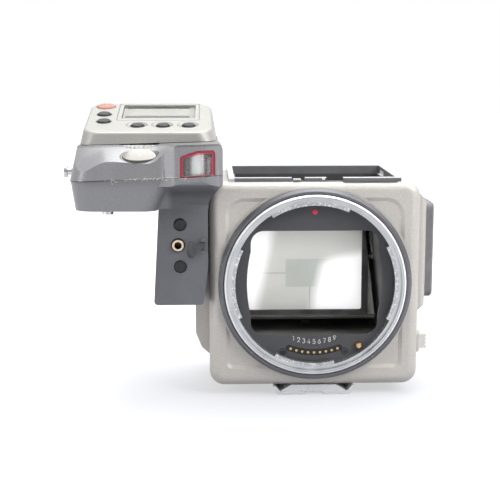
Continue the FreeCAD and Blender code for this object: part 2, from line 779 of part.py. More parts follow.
def chassis():
    """Cast mirror box with its front plate, deck, feet for the tripod socket and gear boss."""
    half = BOX_W / 2
    outer = box(-WALL_X, WALL_X, THROAT_BACK, BOX_REAR, BOX_FLOOR - BOX_WALL, BOX_TOP)
    inner = box(-half, half, THROAT_BACK + FRONT_PLATE_THICK, BOX_REAR + 1, BOX_FLOOR, BOX_TOP + 10)
    disc = rod_y(0, 0, FRONT_PLATE_R, THROAT_BACK, THROAT_BACK + FRONT_PLATE_THICK)
    disc = disc.common(box(-50, 50, 0, 50, -50, BOX_TOP))
    deck_side = RAIL_FRAME_W / 2
    deck = box(-deck_side, deck_side, THROAT_BACK, BOX_REAR, BOX_TOP, BAY_FLOOR)
    well = box(-half, half, BAY_FRONT, BOX_REAR - 1.4, BOX_TOP - 1, BAY_FLOOR + 1)
    legs = [box(side * LEG_X - LEG_THICK / 2, side * LEG_X + LEG_THICK / 2, THROAT_BACK + 4, BOX_REAR - 5,
                BODY_BOTTOM + COVER_WALL, BOX_FLOOR - BOX_WALL) for side in (-1, 1)]
    legs = [leg.cut(box(-50, 50, 0, COVER_SPLIT_Y, BODY_BOTTOM, BODY_BOTTOM + COVER_WALL)) for leg in legs]
    y, z = idler_centre()
    boss = rod_x(y, z, LINK_SHAFT_R, -WALL_X - GEAR_GAP - GEAR_W, -WALL_X + 0.5)
    collar = rod_x(y, z, LINK_SHAFT_R + 1.4, -WALL_X - GEAR_GAP + SEAT_GAP, -WALL_X + 0.5)
    studs = [rod_x(sy, sz, 2.0, WALL_X - 0.5, WALL_X + 1.8) for sy in (16, 50) for sz in (-18, 22)]
    body = fuse([outer, disc, deck] + legs + [boss, collar] + studs)
    lens_way = throat_opening(1.2, 0, THROAT_BACK + FRONT_PLATE_THICK + 0.1)
    raised_room = box(-half, half, THROAT_BACK + 0.6, BOX_REAR, 0, BOX_TOP - 1)
    qy, qz = link_pivot()
    shafts = [rod_x(qy, qz, LINK_SHAFT_R + SHAFT_GAP, side * WALL_X - 4, side * WALL_X + 4)
              for side in (-1, 1)]
    sensor = box(-6, 6, SENSOR_Y - 5, SENSOR_Y + 5, BOX_FLOOR - BOX_WALL - 1, BOX_FLOOR + 1)
    slot = contact_slot(0, 0, FRONT_CUT)
    holes = [rod_y(sx, sz, THROAT_SCREW_R / 2, 0, FRONT_CUT) for sx, sz in throat_screw_places()]
    lx, lz = lock_place()
    lock = rod_y(lx, lz, LOCK_BUSH_R, 0, FRONT_CUT)
    return cut(body, [inner, well, lens_way, raised_room, sensor, slot, lock] + shafts + holes)


def screen_frame():
    """Mask and tray that hold the focusing screen in the mirror box."""
    half = BOX_W / 2
    z0 = SCREEN_Z - SCREEN_MASK
    tray = box(-half, half, THROAT_BACK + FRONT_PLATE_THICK + 0.3, BOX_REAR - 0.6, z0, BOX_TOP - 1)
    pocket = box(-SCREEN_W / 2 - 0.1, SCREEN_W / 2 + 0.1, SCREEN_FRONT - 0.1, SCREEN_FRONT + SCREEN_LEN + 0.1,
                 SCREEN_Z, BOX_TOP + 5)
    front = SCREEN_FRONT + (SCREEN_LEN - GATE_H) / 2
    mask = plate_z(rectangle(-GATE_W / 2, GATE_W / 2, front, front + GATE_H), 1.0, z0 - 1, SCREEN_Z + 1)
    return cut(tray, [pocket, mask])


def focusing_screen():
    return box(-SCREEN_W / 2, SCREEN_W / 2, SCREEN_FRONT, SCREEN_FRONT + SCREEN_LEN, SCREEN_Z,
               SCREEN_Z + SCREEN_THICK)


def finder_rail_frame():
    """Seat of the finder: a tray rim with side rails, a notched front wall and a contact block."""
    side = RAIL_FRAME_W / 2
    profile = [(THROAT_BACK, BAY_FLOOR), (BOX_REAR, BAY_FLOOR), (BOX_REAR, RAIL_REAR_TOP),
               (BAY_REAR, RAIL_REAR_TOP), (THROAT_BACK, RAIL_FRONT_TOP)]
    blank = plate_x(profile, [0, 0, 0.8, 0.8, 0.8], -side, side)
    inner = box(-BAY_W / 2, BAY_W / 2, BAY_FRONT, BAY_REAR, BAY_FLOOR - 1, RAIL_REAR_TOP + 1)
    front, rear = BAY_FRONT + 2 * RAIL_MARGIN, BAY_REAR - RAIL_MARGIN
    low, high = RAIL_FRONT_TOP - RAIL_DEEP, RAIL_REAR_TOP - RAIL_DEEP
    rails = []
    for s in (-1, 1):
        a, b = sorted((s * (BAY_W / 2 - RAIL_LEDGE), s * (BAY_W / 2 + 0.5)))
        rails.append(plate_x([(front, low), (rear, high),
                              (rear, high + RAIL_LEDGE), (front, low + RAIL_LEDGE)],
                             0.3, a, b))
    floor_lip = box(-BAY_W / 2 - 0.5, BAY_W / 2 + 0.5, BAY_FRONT - 0.5, BAY_REAR + 0.5, BAY_FLOOR,
                    BAY_FLOOR + BAY_LIP)
    floor_way = box(-BOX_W / 2, BOX_W / 2, BAY_FRONT + 2, BAY_REAR - 2,
                    BAY_FLOOR - 1, BAY_FLOOR + BAY_LIP + 1)
    bar_top = RAIL_FRONT_TOP - 0.2
    bar = plate_z(rectangle(FRONT_BAR[0], FRONT_BAR[1], THROAT_BACK - 1.0, THROAT_BACK + 0.5), 0,
                  bar_top - FRONT_BAR_H, bar_top)
    body = fuse([blank.cut(inner)] + rails + [floor_lip.cut(floor_way), bar, finder_contacts()])
    low = RAIL_FRONT_TOP - FRONT_NOTCH_DEEP
    notches = [box(a, b, THROAT_BACK - 1, BAY_FRONT + 0.05, low, RAIL_FRONT_TOP + 1)
               for a, b in FRONT_NOTCHES]
    return cut(body, notches)


def finder_contacts():
    """Block behind the front wall between its notches, with four slots for the finder's pins."""
    x0, x1 = FRONT_NOTCHES[0][1], FRONT_NOTCHES[1][0]
    y1, top = BAY_FRONT + 2.0, RAIL_FRONT_TOP - 0.6
    block = box(x0, x1, BAY_FRONT - 0.5, y1, top - 5.0, top)
    pitch = (x1 - x0) / 5
    slots = [box(x0 + pitch * i - 0.45, x0 + pitch * i + 0.45, y1 - 0.6, y1 + 1, top - 4.2, top - 1.2)
             for i in range(1, 5)]
    return cut(block, slots)


def finder_catch():
    """Sprung hook at the front of the finder bay, with a thumb piece through the front wall's notch."""
    y0 = BAY_FRONT + SLIDE_GAP
    top = RAIL_FRONT_TOP - 0.7
    sill = RAIL_FRONT_TOP - FRONT_NOTCH_DEEP + SLIDE_GAP
    profile = [(y0, top - 7.0), (y0 + 1.8, top - 7.0), (y0 + 1.8, top - 1.8), (y0 + 3.0, top - 1.0),
               (y0 + 2.2, top), (THROAT_BACK - 0.4, top), (THROAT_BACK - 0.4, sill), (y0, sill)]
    return plate_x(profile, [0.2, 0.2, 0.2, 0.2, 0.2, 0.2, 0.2, 0], CATCH_X[0], CATCH_X[1])


def rear_frame():
    """Film gate plate with the pocket that the shutter leaves run in."""
    side = HALF_W - COVER_WALL
    y0, y1 = BOX_REAR, BOX_REAR + GATE_FRAME_THICK
    plate = box(-side, side, y0, y1, BODY_BOTTOM + COVER_WALL, BODY_TOP - COVER_WALL)
    plate = plate.common(body_outline(COVER_WALL, y0, y1))
    tab = box(-RAIL_FRAME_W / 2, RAIL_FRAME_W / 2, y0, y1, 30, RAIL_REAR_TOP - 1.0)
    half = LEAF_W / 2 + SEAT_GAP
    pocket = box(-half, half, y0 - 1, y0 + LEAF_POCKET, -leaf_reach() - SEAT_GAP, leaf_reach() + SEAT_GAP)
    gate = plate_y(rectangle(-GATE_W / 2, GATE_W / 2, -GATE_H / 2, GATE_H / 2), 1.0, y0, y1 + 1)
    rim_x, rim_z = GATE_W / 2 + GATE_RIM_REACH, GATE_H / 2 + GATE_RIM_REACH
    rim = plate_y(rectangle(-rim_x, rim_x, -rim_z, rim_z), 1.0 + GATE_RIM_W, y1, y1 + GATE_RIM)
    rim_x, rim_z = rim_x - GATE_RIM_W, rim_z - GATE_RIM_W
    rim_in = plate_y(rectangle(-rim_x, rim_x, -rim_z, rim_z), 1.0, y1 - 1, y1 + GATE_RIM + 1)
    body = fuse([plate, tab, rim.cut(rim_in)])
    return cut(body, [pocket, gate])


def leaf_travel():
    return GATE_H / 2 + LEAF_LAP / 2 + 0.1


def leaf_reach():
    """Furthest height of a leaf's outer edge when the shutter is open."""
    return GATE_H / 2 + LEAF_EDGE_LAP + leaf_travel()


def shutter_leaf(direction, layer):
    """One leaf, with a stiffening bead along its outer edge."""
    y0 = BOX_REAR + SEAT_GAP + layer * (LEAF_THICK + SEAT_GAP)
    inner = -direction * LEAF_LAP / 2
    outer = direction * (GATE_H / 2 + LEAF_EDGE_LAP)
    z0, z1 = min(inner, outer), max(inner, outer)
    leaf = box(-LEAF_W / 2, LEAF_W / 2, y0, y0 + LEAF_THICK, z0, z1)
    nick = box(-4, 4, y0 - 1, y0 + LEAF_THICK + 1, outer - 0.8, outer + 0.8)
    return leaf.cut(nick)


def upper_shutter_leaf():
    return shutter_leaf(1, 0)


def lower_shutter_leaf():
    return shutter_leaf(-1, 1)


def magazine_support():
    """Ledge with two hooks that carries the magazine's foot, and the contact block above it."""
    y0 = BOX_REAR + GATE_FRAME_THICK
    ledge = box(-24, 24, y0, y0 + 3.0, -41.0, -38.4)
    hooks = [plate_x([(y0 + 1.6, -38.6), (y0 + 3.0, -38.6), (y0 + 3.0, -36.2), (y0 + 2.2, -36.2)],
                     0, x - 3, x + 3)
             for x in (-17, 17)]
    block = plate_y(rectangle(12, 27, -35.0, -30.6), 0.8, y0, y0 + 0.8)
    pads = [rod_y(13.6 + 1.7 * i, -32.8, 0.6, y0 + 0.8, y0 + 1.2) for i in range(8)]
    return Part.makeCompound([fuse([ledge] + hooks), fuse([block] + pads)])


def magazine_catch():
    """Sprung latch above the film gate."""
    y0 = BOX_REAR + GATE_FRAME_THICK + SEAT_GAP
    profile = [(y0, 29.0), (y0 + 1.4, 29.0), (y0 + 1.4, 34.6), (y0 + 3.2, 35.4), (y0 + 1.4, 37.6), (y0, 37.6)]
    return plate_x(profile, 0.2, -7, 7)


# Mirror mechanism

def mirror_point(along, behind, raised):
    """A point of the mirror, given along it from its lower edge and behind its face."""
    if raised:
        return MIRROR_UP_Y + along, MIRROR_UP_Z - behind
    low_z = MIRROR_LOW_Y - AXIS_TO_MIRROR
    return MIRROR_LOW_Y + (along + behind) * ROOT2, low_z + (along - behind) * ROOT2


def link_pin(raised):
    return mirror_point(LINK_ALONG, GLASS_THICK + TRAY_THICK / 2, raised)


def link_pivot():
    """Link shaft: on the perpendicular bisector of the pin's rest and raised places."""
    (y0, z0), (y1, z1) = link_pin(False), link_pin(True)
    span = math.hypot(y1 - y0, z1 - z0)
    normal = ((z1 - z0) / span, -(y1 - y0) / span)
    return (y0 + y1) / 2 + LINK_OFFSET * normal[0], (z0 + z1) / 2 + LINK_OFFSET * normal[1]


def link_swing():
    """Angle in degrees that the links turn through between rest and raised."""
    qy, qz = link_pivot()
    angles = [math.atan2(z - qz, y - qy) for y, z in (link_pin(False), link_pin(True))]
    return math.degrees((angles[0] - angles[1]) % (2 * math.pi))


def on_mirror(shape):
    """Carries a piece from the flat raised frame to the mirror's rest place at 45 degrees."""
    copy = turned_x(shape, MIRROR_UP_Y, MIRROR_UP_Z, 45)
    copy.translate(V(0, MIRROR_LOW_Y - MIRROR_UP_Y, MIRROR_LOW_Y - AXIS_TO_MIRROR - MIRROR_UP_Z))
    return copy


def mirror_slab(x0, x1, a0, a1, b0, b1):
    """Block in the mirror's own frame: along from the lower edge, and behind the face."""
    return box(x0, x1, MIRROR_UP_Y + a0, MIRROR_UP_Y + a1, MIRROR_UP_Z - b1, MIRROR_UP_Z - b0)


def mirror_glass():
    side = MIRROR_W / 2 - 0.3
    return on_mirror(mirror_slab(-side, side, 0.2, MIRROR_LENGTH - 0.2, 0, GLASS_THICK))


def mirror_tray():
    """Carrier of the mirror with a window, ears for the second mirror and side pins."""
    side = MIRROR_W / 2
    back = GLASS_THICK + TRAY_THICK
    tray = mirror_slab(-side, side, 0, MIRROR_LENGTH, GLASS_THICK, back)
    window = mirror_slab(-SUB_W / 2 - 0.6, SUB_W / 2 + 0.6, 8, SUB_ALONG - 2.5, 0, back + 1)
    ears = []
    for s in (-1, 1):
        a, b = sorted((s * (SUB_W / 2 + 1.6), s * (SUB_W / 2 + 3.0)))
        ears.append(mirror_slab(a, b, SUB_ALONG - 1.8, SUB_ALONG + 1.8, back - 0.5, back + 2.6))
    tray = fuse([tray.cut(window)] + ears)
    hy, hz = mirror_point(SUB_ALONG, SUB_BEHIND, True)
    tray = tray.cut(rod_x(hy, hz, LINK_PIN_R + SHAFT_GAP, -side, side))
    py, pz = link_pin(True)
    reach = BOX_W / 2 - SEAT_GAP
    pins = [rod_x(py, pz, LINK_PIN_R, -reach, -side + 3), rod_x(py, pz, LINK_PIN_R, side - 3, reach)]
    return on_mirror(fuse([tray] + pins))


def sub_mirror():
    """Second mirror: stands square behind the tray and folds flat under it."""
    hy, hz = mirror_point(SUB_ALONG, SUB_BEHIND, True)
    half = SUB_THICK / 2
    plate = box(-SUB_W / 2, SUB_W / 2, hy - half, hy + half, hz - SUB_LENGTH, hz)
    knuckle = rod_x(hy, hz, half, -SUB_W / 2 - 1.2, SUB_W / 2 + 1.2)
    pin = rod_x(hy, hz, LINK_PIN_R, -SUB_W / 2 - 2.9, SUB_W / 2 + 2.9)
    return on_mirror(fuse([plate, knuckle, pin]))


def mirror_links():
    """Side links between the mirror and the box walls, with their shaft stubs."""
    qy, qz = link_pivot()
    py, pz = link_pin(False)
    wall = BOX_W / 2
    pieces = []
    for s in (-1, 1):
        a, b = sorted((s * (wall - SEAT_GAP - LINK_THICK), s * (wall - SEAT_GAP)))
        link = bar_x((qy, qz), (py, pz), LINK_END_R, LINK_TIP_R, a, b)
        link = link.cut(rod_x(py, pz, LINK_PIN_R + SHAFT_GAP, a - 1, b + 1))
        reach = WALL_X + (GEAR_GAP + GEAR_W if s < 0 else 0.8)
        c, d = sorted((s * (wall - SEAT_GAP - 0.2), s * reach))
        pieces.append(link.fuse(rod_x(qy, qz, LINK_SHAFT_R, c, d)))
    return Part.makeCompound(pieces + [mirror_sector_gear()])


def bar_x(a, b, ra, rb, x0, x1):
    """Flat bar with round ends between two side-view points."""
    dy, dz = b[0] - a[0], b[1] - a[1]
    span = math.hypot(dy, dz)
    lean = math.acos((ra - rb) / span)
    course = math.atan2(dz, dy)
    points = []
    for (y, z), r, turn in ((a, ra, lean), (b, rb, lean), (b, rb, -lean), (a, ra, -lean)):
        points.append(V(x0, y + r * math.cos(course + turn), z + r * math.sin(course + turn)))
    far = V(x0, b[0] + rb * math.cos(course), b[1] + rb * math.sin(course))
    near = V(x0, a[0] - ra * math.cos(course), a[1] - ra * math.sin(course))
    edges = [Part.LineSegment(points[0], points[1]).toShape(), Part.Arc(points[1], far, points[2]).toShape(),
             Part.LineSegment(points[2], points[3]).toShape(), Part.Arc(points[3], near, points[0]).toShape()]
    return prism(Part.Wire(edges), V(x1 - x0, 0, 0))


# Gears

def pitch_r(teeth):
    return GEAR_MODULE * teeth / 2


def idler_centre():
    qy, qz = link_pivot()
    return qy - pitch_r(SECTOR_TEETH) - pitch_r(IDLER_TEETH), qz


def pinion_centre():
    y, z = idler_centre()
    reach = pitch_r(IDLER_TEETH) + pitch_r(PINION_TEETH)
    return y - reach * math.sin(math.radians(PINION_LEAN)), z - reach * math.cos(math.radians(PINION_LEAN))


def tooth_outline(teeth, centre, phase, first, last, x0):
    """Points of involute teeth from number first to last; phase is the angle of tooth 0's middle."""
    r = pitch_r(teeth)
    pressure = math.radians(20)
    base = r * math.cos(pressure)
    tip = r + GEAR_MODULE * 0.9
    root = r - GEAR_MODULE * 1.25
    half = math.pi / (2 * teeth) - BACKLASH / (2 * r)
    at_pitch = math.tan(pressure) - pressure
    start = max(base, root + 0.05)
    flank = []
    for k in range(4):
        rad = start + (tip - start) * k / 3
        spread = math.acos(min(1.0, base / rad))
        flank.append((rad, half + at_pitch - (math.tan(spread) - spread)))
    points = []
    for n in range(first, last + 1):
        mid = phase + 2 * math.pi * n / teeth
        side = [(root, mid - flank[0][1])] + [(rad, mid - a) for rad, a in flank]
        side += [(rad, mid + a) for rad, a in reversed(flank)] + [(root, mid + flank[0][1])]
        points += [V(x0, centre[0] + rad * math.cos(t), centre[1] + rad * math.sin(t)) for rad, t in side]
    return points


def gear_faces():
    """X span of all three gears, clear of the box wall."""
    return -WALL_X - GEAR_GAP - GEAR_W, -WALL_X - GEAR_GAP


def mirror_sector_gear():
    qy, qz = link_pivot()
    x0, x1 = gear_faces()
    pitch = 2 * math.pi / SECTOR_TEETH
    last = math.ceil(math.radians(link_swing()) / pitch) + 1
    teeth = tooth_outline(SECTOR_TEETH, (qy, qz), math.pi, -1, last, x0)
    hub = rod_x(qy, qz, LINK_SHAFT_R + SECTOR_HUB, x0, x1)
    blade = Part.makePolygon(teeth + [V(x0, qy, qz), teeth[0]])
    return fuse([prism(blade, V(GEAR_W, 0, 0)), hub]).cut(rod_x(qy, qz, LINK_SHAFT_R, x0 - 1, x1 + 1))


def spur(teeth, centre, phase, bore):
    x0, x1 = gear_faces()
    points = tooth_outline(teeth, centre, phase, 0, teeth - 1, x0)
    wheel = prism(Part.makePolygon(points + points[:1]), V(GEAR_W, 0, 0))
    if bore:
        wheel = wheel.cut(rod_x(centre[0], centre[1], bore, x0 - 1, x1 + 1))
    return wheel


def mirror_idler_gear():
    """Idler whose tooth gap faces the sector's tooth 0."""
    phase = math.pi / IDLER_TEETH
    return spur(IDLER_TEETH, idler_centre(), phase, LINK_SHAFT_R + SHAFT_GAP)


def motor_pinion():
    """Pinion on the motor shaft, phased to the idler along their line of centres."""
    iy, iz = idler_centre()
    py, pz = pinion_centre()
    to_pinion = math.atan2(pz - iz, py - iy)
    step = 2 * math.pi / IDLER_TEETH
    offset = (to_pinion - math.pi / IDLER_TEETH) / step
    lead = offset - math.floor(offset)
    pinion_step = 2 * math.pi / PINION_TEETH
    phase = to_pinion + math.pi + (0.5 + lead) * pinion_step
    wheel = spur(PINION_TEETH, (py, pz), phase, 0)
    x0 = gear_faces()[0]
    return wheel.fuse(rod_x(py, pz, SHAFT_R, MOTOR_FACE - 3, x0 + 0.1))


def drive_motor():
    y, z = pinion_centre()
    can = rod_x(y, z, MOTOR_R, MOTOR_FACE - MOTOR_LEN, MOTOR_FACE)
    boss = rod_x(y, z, 3.0, MOTOR_FACE - 0.5, MOTOR_FACE + 0.8)
    return fuse([can, boss]).cut(rod_x(y, z, SHAFT_R + SHAFT_GAP, MOTOR_FACE - 3.2, MOTOR_FACE + 2))


def af_sensor_module():
    top = BOX_FLOOR - BOX_WALL
    block = box(-10, 10, SENSOR_Y - 7, SENSOR_Y + 7, top - 10, top)
    lens = rod_z(0, SENSOR_Y, 3.6, top - 0.5, top + 0.9)
    lens = lens.makeChamfer(0.6, [e for e in lens.Edges if e.BoundBox.ZMin > top + 0.89])
    return fuse([block, lens])


def main_circuit_board():
    x = WALL_X + 1.8
    board = box(x, x + 1.2, 12, 54, -24, 28)
    chips = [box(x + 1.2, x + 1.2 + h, y, y + ly, z, z + lz)
             for h, y, ly, z, lz in ((1.6, 17, 12, 4, 12), (1.2, 34, 9, 10, 9),
                                     (2.2, 20, 6, -16, 14), (1.4, 33, 14, -14, 7))]
    return fuse([board] + chips)


# Tripod foot

def tripod_foot():
    """Pressed foot: a tray with flared rims, a core with sloping sides and two bushes."""
    base = FOOT_BASE_W / 2
    top = FOOT_W / 2
    lip = BODY_BOTTOM - SEAT_GAP
    floor = FOOT_BOTTOM + FOOT_PLATE
    tray = [(-base, FOOT_BOTTOM), (base, FOOT_BOTTOM), (top, lip), (top - FOOT_RIM, lip),
            (base - FOOT_RIM, floor),
            (-base + FOOT_RIM, floor), (-top + FOOT_RIM, lip), (-top, lip)]
    shoe = plate_y(tray, [1.6, 1.6, 0.4, 0.4, 0.8, 0.8, 0.4, 0.4], FOOT_FRONT, FOOT_REAR)
    low = FOOT_CORE_W / 2
    high = low - FOOT_CORE_SLOPE
    core = plate_y([(-low, floor - 0.5), (low, floor - 0.5), (low, floor + 0.3), (high, BODY_BOTTOM),
                    (-high, BODY_BOTTOM), (-low, floor + 0.3)], 0, FOOT_FRONT + 0.8, FOOT_REAR - 2)
    notch = box(-FOOT_NOTCH_W / 2, FOOT_NOTCH_W / 2, FOOT_FRONT - 1, FOOT_FRONT + 4, FOOT_BOTTOM - 1,
                FOOT_BOTTOM + FOOT_NOTCH_H)
    bushes, threads = [], []
    for y, r in ((SMALL_THREAD_Y, SMALL_THREAD_R), (LARGE_THREAD_Y, LARGE_THREAD_R)):
        bushes.append(rod_z(0, y, r + BUSH_WALL, FOOT_BOTTOM + FOOT_PLATE, FOOT_BOTTOM + THREAD_DEPTH + 1.0))
        threads.append(rod_z(0, y, r, FOOT_BOTTOM - 1, FOOT_BOTTOM + THREAD_DEPTH))
    screws = [foot_screw(x, y, 0.0) for x, y in foot_screw_places()]
    return cut(fuse([shoe, core] + bushes), [notch] + threads + screws)


def foot_screw_places():
    return [(x, y) for x in (-FOOT_SCREW_X, FOOT_SCREW_X) for y in (FOOT_FRONT + 6, FOOT_REAR - 8)]


def foot_screw(x, y, sink):
    """Counterbored screw of the foot; its head lies below the base by the sink, or past it to cut the way."""
    bottom = FOOT_BOTTOM + (sink if sink else -1.0)
    head = rod_z(x, y, FOOT_SCREW_R, bottom, FOOT_BOTTOM + FOOT_PLATE)
    return head.fuse(rod_z(x, y, FOOT_SCREW_R / 2, FOOT_BOTTOM + FOOT_PLATE, BODY_BOTTOM))


def fixing_screws():
    """Screws of the tripod foot and of the throat plate."""
    screws = throat_screws()
    for x, y in foot_screw_places():
        slot = box(x - 1.5, x + 1.5, y - 0.25, y + 0.25, FOOT_BOTTOM, FOOT_BOTTOM + 0.8)
        screws.append(foot_screw(x, y, 0.3).cut(slot))
    return Part.makeCompound(screws)


# Lens release

def lens_release_button():
    """Ribbed button in the front cover's side, with the bar that reaches the lock pin."""
    outer = HALF_W + RELEASE_PROUD
    y0, y1 = RELEASE_Y - RELEASE_LEN / 2, RELEASE_Y + RELEASE_LEN / 2
    z0, z1 = RELEASE_Z - RELEASE_H / 2, RELEASE_Z + RELEASE_H / 2
    block = box(HALF_W - 4, outer, y0, y1, z0, z1)
    ribs = 4
    pitch = RELEASE_H / ribs
    grooves = [box(outer - 1.1, outer + 1, y0 - 1, y1 + 1,
                   z0 + pitch * (i + 1) - 0.35, z0 + pitch * (i + 1) + 0.35)
               for i in range(ribs - 1)]
    neck_end = lock_place()[0] + LOCK_R + RELEASE_TRAVEL + 0.4
    bar = plate_z([(neck_end, RELEASE_Y - 1.6), (HALF_W - 3, RELEASE_Y - 1.6), (HALF_W - 3, RELEASE_Y + 1.6),
                   (neck_end + 2.0, RELEASE_Y + 1.6)], 0, RELEASE_Z - 2.6, RELEASE_Z - 0.8)
    return fuse([cut(block, grooves), bar])


# Grip column

def column_blank(inset):
    """Leaning column, clear of the body side."""
    left_top, left_bottom = COLUMN_LEFT_TOP + inset, COLUMN_LEFT_BOTTOM + inset
    right_top, right_bottom = COLUMN_RIGHT_TOP - inset, COLUMN_RIGHT_BOTTOM - inset
    profile = [(left_bottom, COLUMN_BOTTOM + inset), (right_bottom, COLUMN_BOTTOM + inset),
               (right_top, 8.0), (right_top, COLUMN_TOP + 20 * (inset > 0)),
               (left_top, COLUMN_TOP + 20 * (inset > 0))]
    radius = max(0.3, 1.6 - inset)
    column = plate_y(profile, [radius, radius, 0, 0, 0], COLUMN_FRONT + inset, COLUMN_REAR - inset)
    side = box(GRIP_SIDE_X - inset, -HALF_W + 1, COLUMN_FRONT + 14 - inset, COLUMN_REAR + 1, -60, 60)
    return column.cut(side)


def grip_column():
    column = column_blank(0)
    front = [rod_y(x, z, COLUMN_BUTTON_R + SLIDE_GAP, 0, COLUMN_FRONT + 4)
             for x, z in (MIRROR_BUTTON, STOP_BUTTON)]
    front.append(rod_y(SYNC_PLACE[0], SYNC_PLACE[1], SYNC_R, 0, COLUMN_FRONT + SYNC_DEPTH + 1))
    y, z = pinion_centre()
    motor_way = rod_x(y, z, MOTOR_R + SEAT_GAP, MOTOR_FACE - MOTOR_LEN - 0.1, 0)
    return fuse([cut(column, [column_blank(SHELL_WALL)] + front + [motor_way]), sync_cap_post()])


def column_button(place):
    """Round button with a domed face and a flange that keeps it in the column."""
    x, z = place
    face = COLUMN_FRONT - 0.5
    cap = rod_y(x, z, COLUMN_BUTTON_R, face, COLUMN_FRONT + SHELL_WALL)
    cap = cap.makeChamfer(0.4, edges_at_y(cap, face))
    inside = COLUMN_FRONT + SHELL_WALL
    flange = rod_y(x, z, COLUMN_BUTTON_R + 0.9, inside + 0.1, inside + 1.0)
    stem = rod_y(x, z, 1.2, COLUMN_FRONT + SHELL_WALL - 0.5, COLUMN_FRONT + SHELL_WALL + 2.4)
    return fuse([cap, flange, stem])


def mirror_up_button():
    return column_button(MIRROR_BUTTON)


def stop_down_button():
    return column_button(STOP_BUTTON)


def sync_terminal():
    """Flash terminal: a turned collar with a blind socket."""
    x, z = SYNC_PLACE
    front = COLUMN_FRONT - SYNC_PROUD
    collar = rod_y(x, z, SYNC_R - 0.3, front, COLUMN_FRONT)
    collar = collar.makeChamfer(0.4, edges_at_y(collar, front))
    sleeve = rod_y(x, z, SYNC_R, COLUMN_FRONT, front + SYNC_DEPTH + 1.5)
    socket = rod_y(x, z, SYNC_BORE_R, front - 1, front + SYNC_DEPTH)
    return cut(fuse([collar, sleeve]), [socket])


def sync_cap():
    """Rubber cap on its strap, built closed over the terminal and swung open."""
    x, z = SYNC_PLACE
    seat = COLUMN_FRONT - SYNC_PROUD - CAP_GAP
    disc = rod_y(x, z, CAP_R, seat - CAP_THICK, seat)
    disc = disc.makeChamfer(0.35, edges_at_y(disc, seat - CAP_THICK))
    plug = rod_y(x, z, SYNC_BORE_R - 0.35, seat - 0.1, seat + 1.0)
    hinge_y = cap_hinge_y()
    strap = box(x, CAP_HINGE_X, seat - 1.3, seat - 0.4, z - 1.1, z + 1.1)
    knuckle = rod_z(CAP_HINGE_X, hinge_y, 0.9, z - 1.6, z + 1.6)
    cap = fuse([disc, plug, strap, knuckle])
    cap.rotate(V(CAP_HINGE_X, hinge_y, 0), V(0, 0, 1), CAP_OPEN_DEG)
    return cap


def cap_hinge_y():
    return COLUMN_FRONT - SYNC_PROUD - CAP_GAP - 0.85


def sync_cap_post():
    """Two ears on the column that hold the cap's strap, on a small base."""
    z = SYNC_PLACE[1]
    y = cap_hinge_y()
    ears = []
    for s in (-1, 1):
        a, b = sorted((z + s * 1.9, z + s * 2.9))
        ears.append(box(CAP_HINGE_X - 0.9, CAP_HINGE_X + 0.9, y - 0.9, COLUMN_FRONT, a, b))
    base = box(CAP_HINGE_X - 0.9, CAP_HINGE_X + 0.9, y + 1.2, COLUMN_FRONT + 0.5, z - 2.9, z + 2.9)
    return fuse(ears + [base])


# Grip head

def seam(level, tilt):
    """Half space over a seam that rises to the right, given at the head's middle."""
    slab = box(-150, 150, -100, 100, 0, 100)
    slab.rotate(V(0, 0, 0), V(0, 1, 0), -tilt)
    slab.translate(V(HEAD_MID_X, 0, level))
    return slab


def split_seam(shift):
    return seam(HEAD_SPLIT + shift, SPLIT_TILT)


def shoulder_seam(shift):
    return seam(HEAD_SHOULDER + shift, SHOULDER_TILT)


def eased(share):
    """Smooth step from 0 to 1."""
    t = min(1.0, max(0.0, share))
    return t * t * (3 - 2 * t)


def rounded(radii, inset):
    """Corner radii of the wall's inner face."""
    return [max(0.3, r - inset) if r else 0 for r in radii]


def head_form(inset):
    """Upper shell's main form: upright front wall that ends beside the lamp housing, left side leaning in."""
    wires = []
    for z in (HEAD_SPLIT - 6, HEAD_SHOULDER + 6):
        rise = z - HEAD_SPLIT
        left = HEAD_LEFT + HEAD_DRAFT * rise + inset
        front = [y + WALL_DRAFT * rise + inset for y in (WALL_FRONT_LEFT, WALL_FRONT_RIGHT)]
        corner = HUMP_LEFT + 1.0 - inset
        back = HEAD_BACK - inset
        plan = [(left, back), (left, front[0]), (corner, front[1]), (corner, -5.0),
                (HEAD_RIGHT - 1.8 - inset, -5.0),
                (HEAD_RIGHT - 1.8 - inset, back)]
        radii = rounded([HEAD_BACK_R, HEAD_CORNER_R, 3.2, 0, 0, HEAD_BACK_R], inset)
        wires.append(outline(plan, radii, plan_view(z)))
    return Part.makeLoft(wires, True, True)


def shelf_tool(inset):
    """Space over the sloping shelf: side sections that scoop at the left and climb the lamp housing."""
    slope = math.tan(math.radians(SHELF_SLOPE))
    y0, y1 = SHELF_TOP_Y - SHELF_LENGTH, SHELF_TOP_Y
    top = HEAD_SHOULDER + 15
    start, end = HEAD_LEFT - 6, HEAD_RIGHT - 8
    count = 12
    wires = []
    for i in range(count):
        x = start + (end - start) * i / (count - 1)
        out = -HALF_W - x
        climb = eased((SHELF_LIFT_OUT - out) / SHELF_LIFT_W)
        fall = max(0.0, (out - SCOOP_OUT) / 10.0) ** 1.5
        low = SHELF_TOP - SHELF_LENGTH * slope + SHELF_LIFT * climb - 7.0 * fall - inset * 1.2
        high = SHELF_TOP - inset * 1.2
        sag = 0.15 + SCOOP_DEEP * eased((out - SCOOP_OUT + 4.0) / 14.0)
        here = side_view(x)
        middle = here((y0 + y1) / 2, (low + high) / 2 - sag)
        a, b, c, d = here(y0, low), here(y1, high), here(y1, top), here(y0, top)
        edges = [Part.Arc(a, middle, b).toShape()]
        edges += [Part.LineSegment(p, q).toShape() for p, q in ((b, c), (c, d), (d, a))]
        wires.append(Part.Wire(edges))
    return Part.makeLoft(wires, True, False)


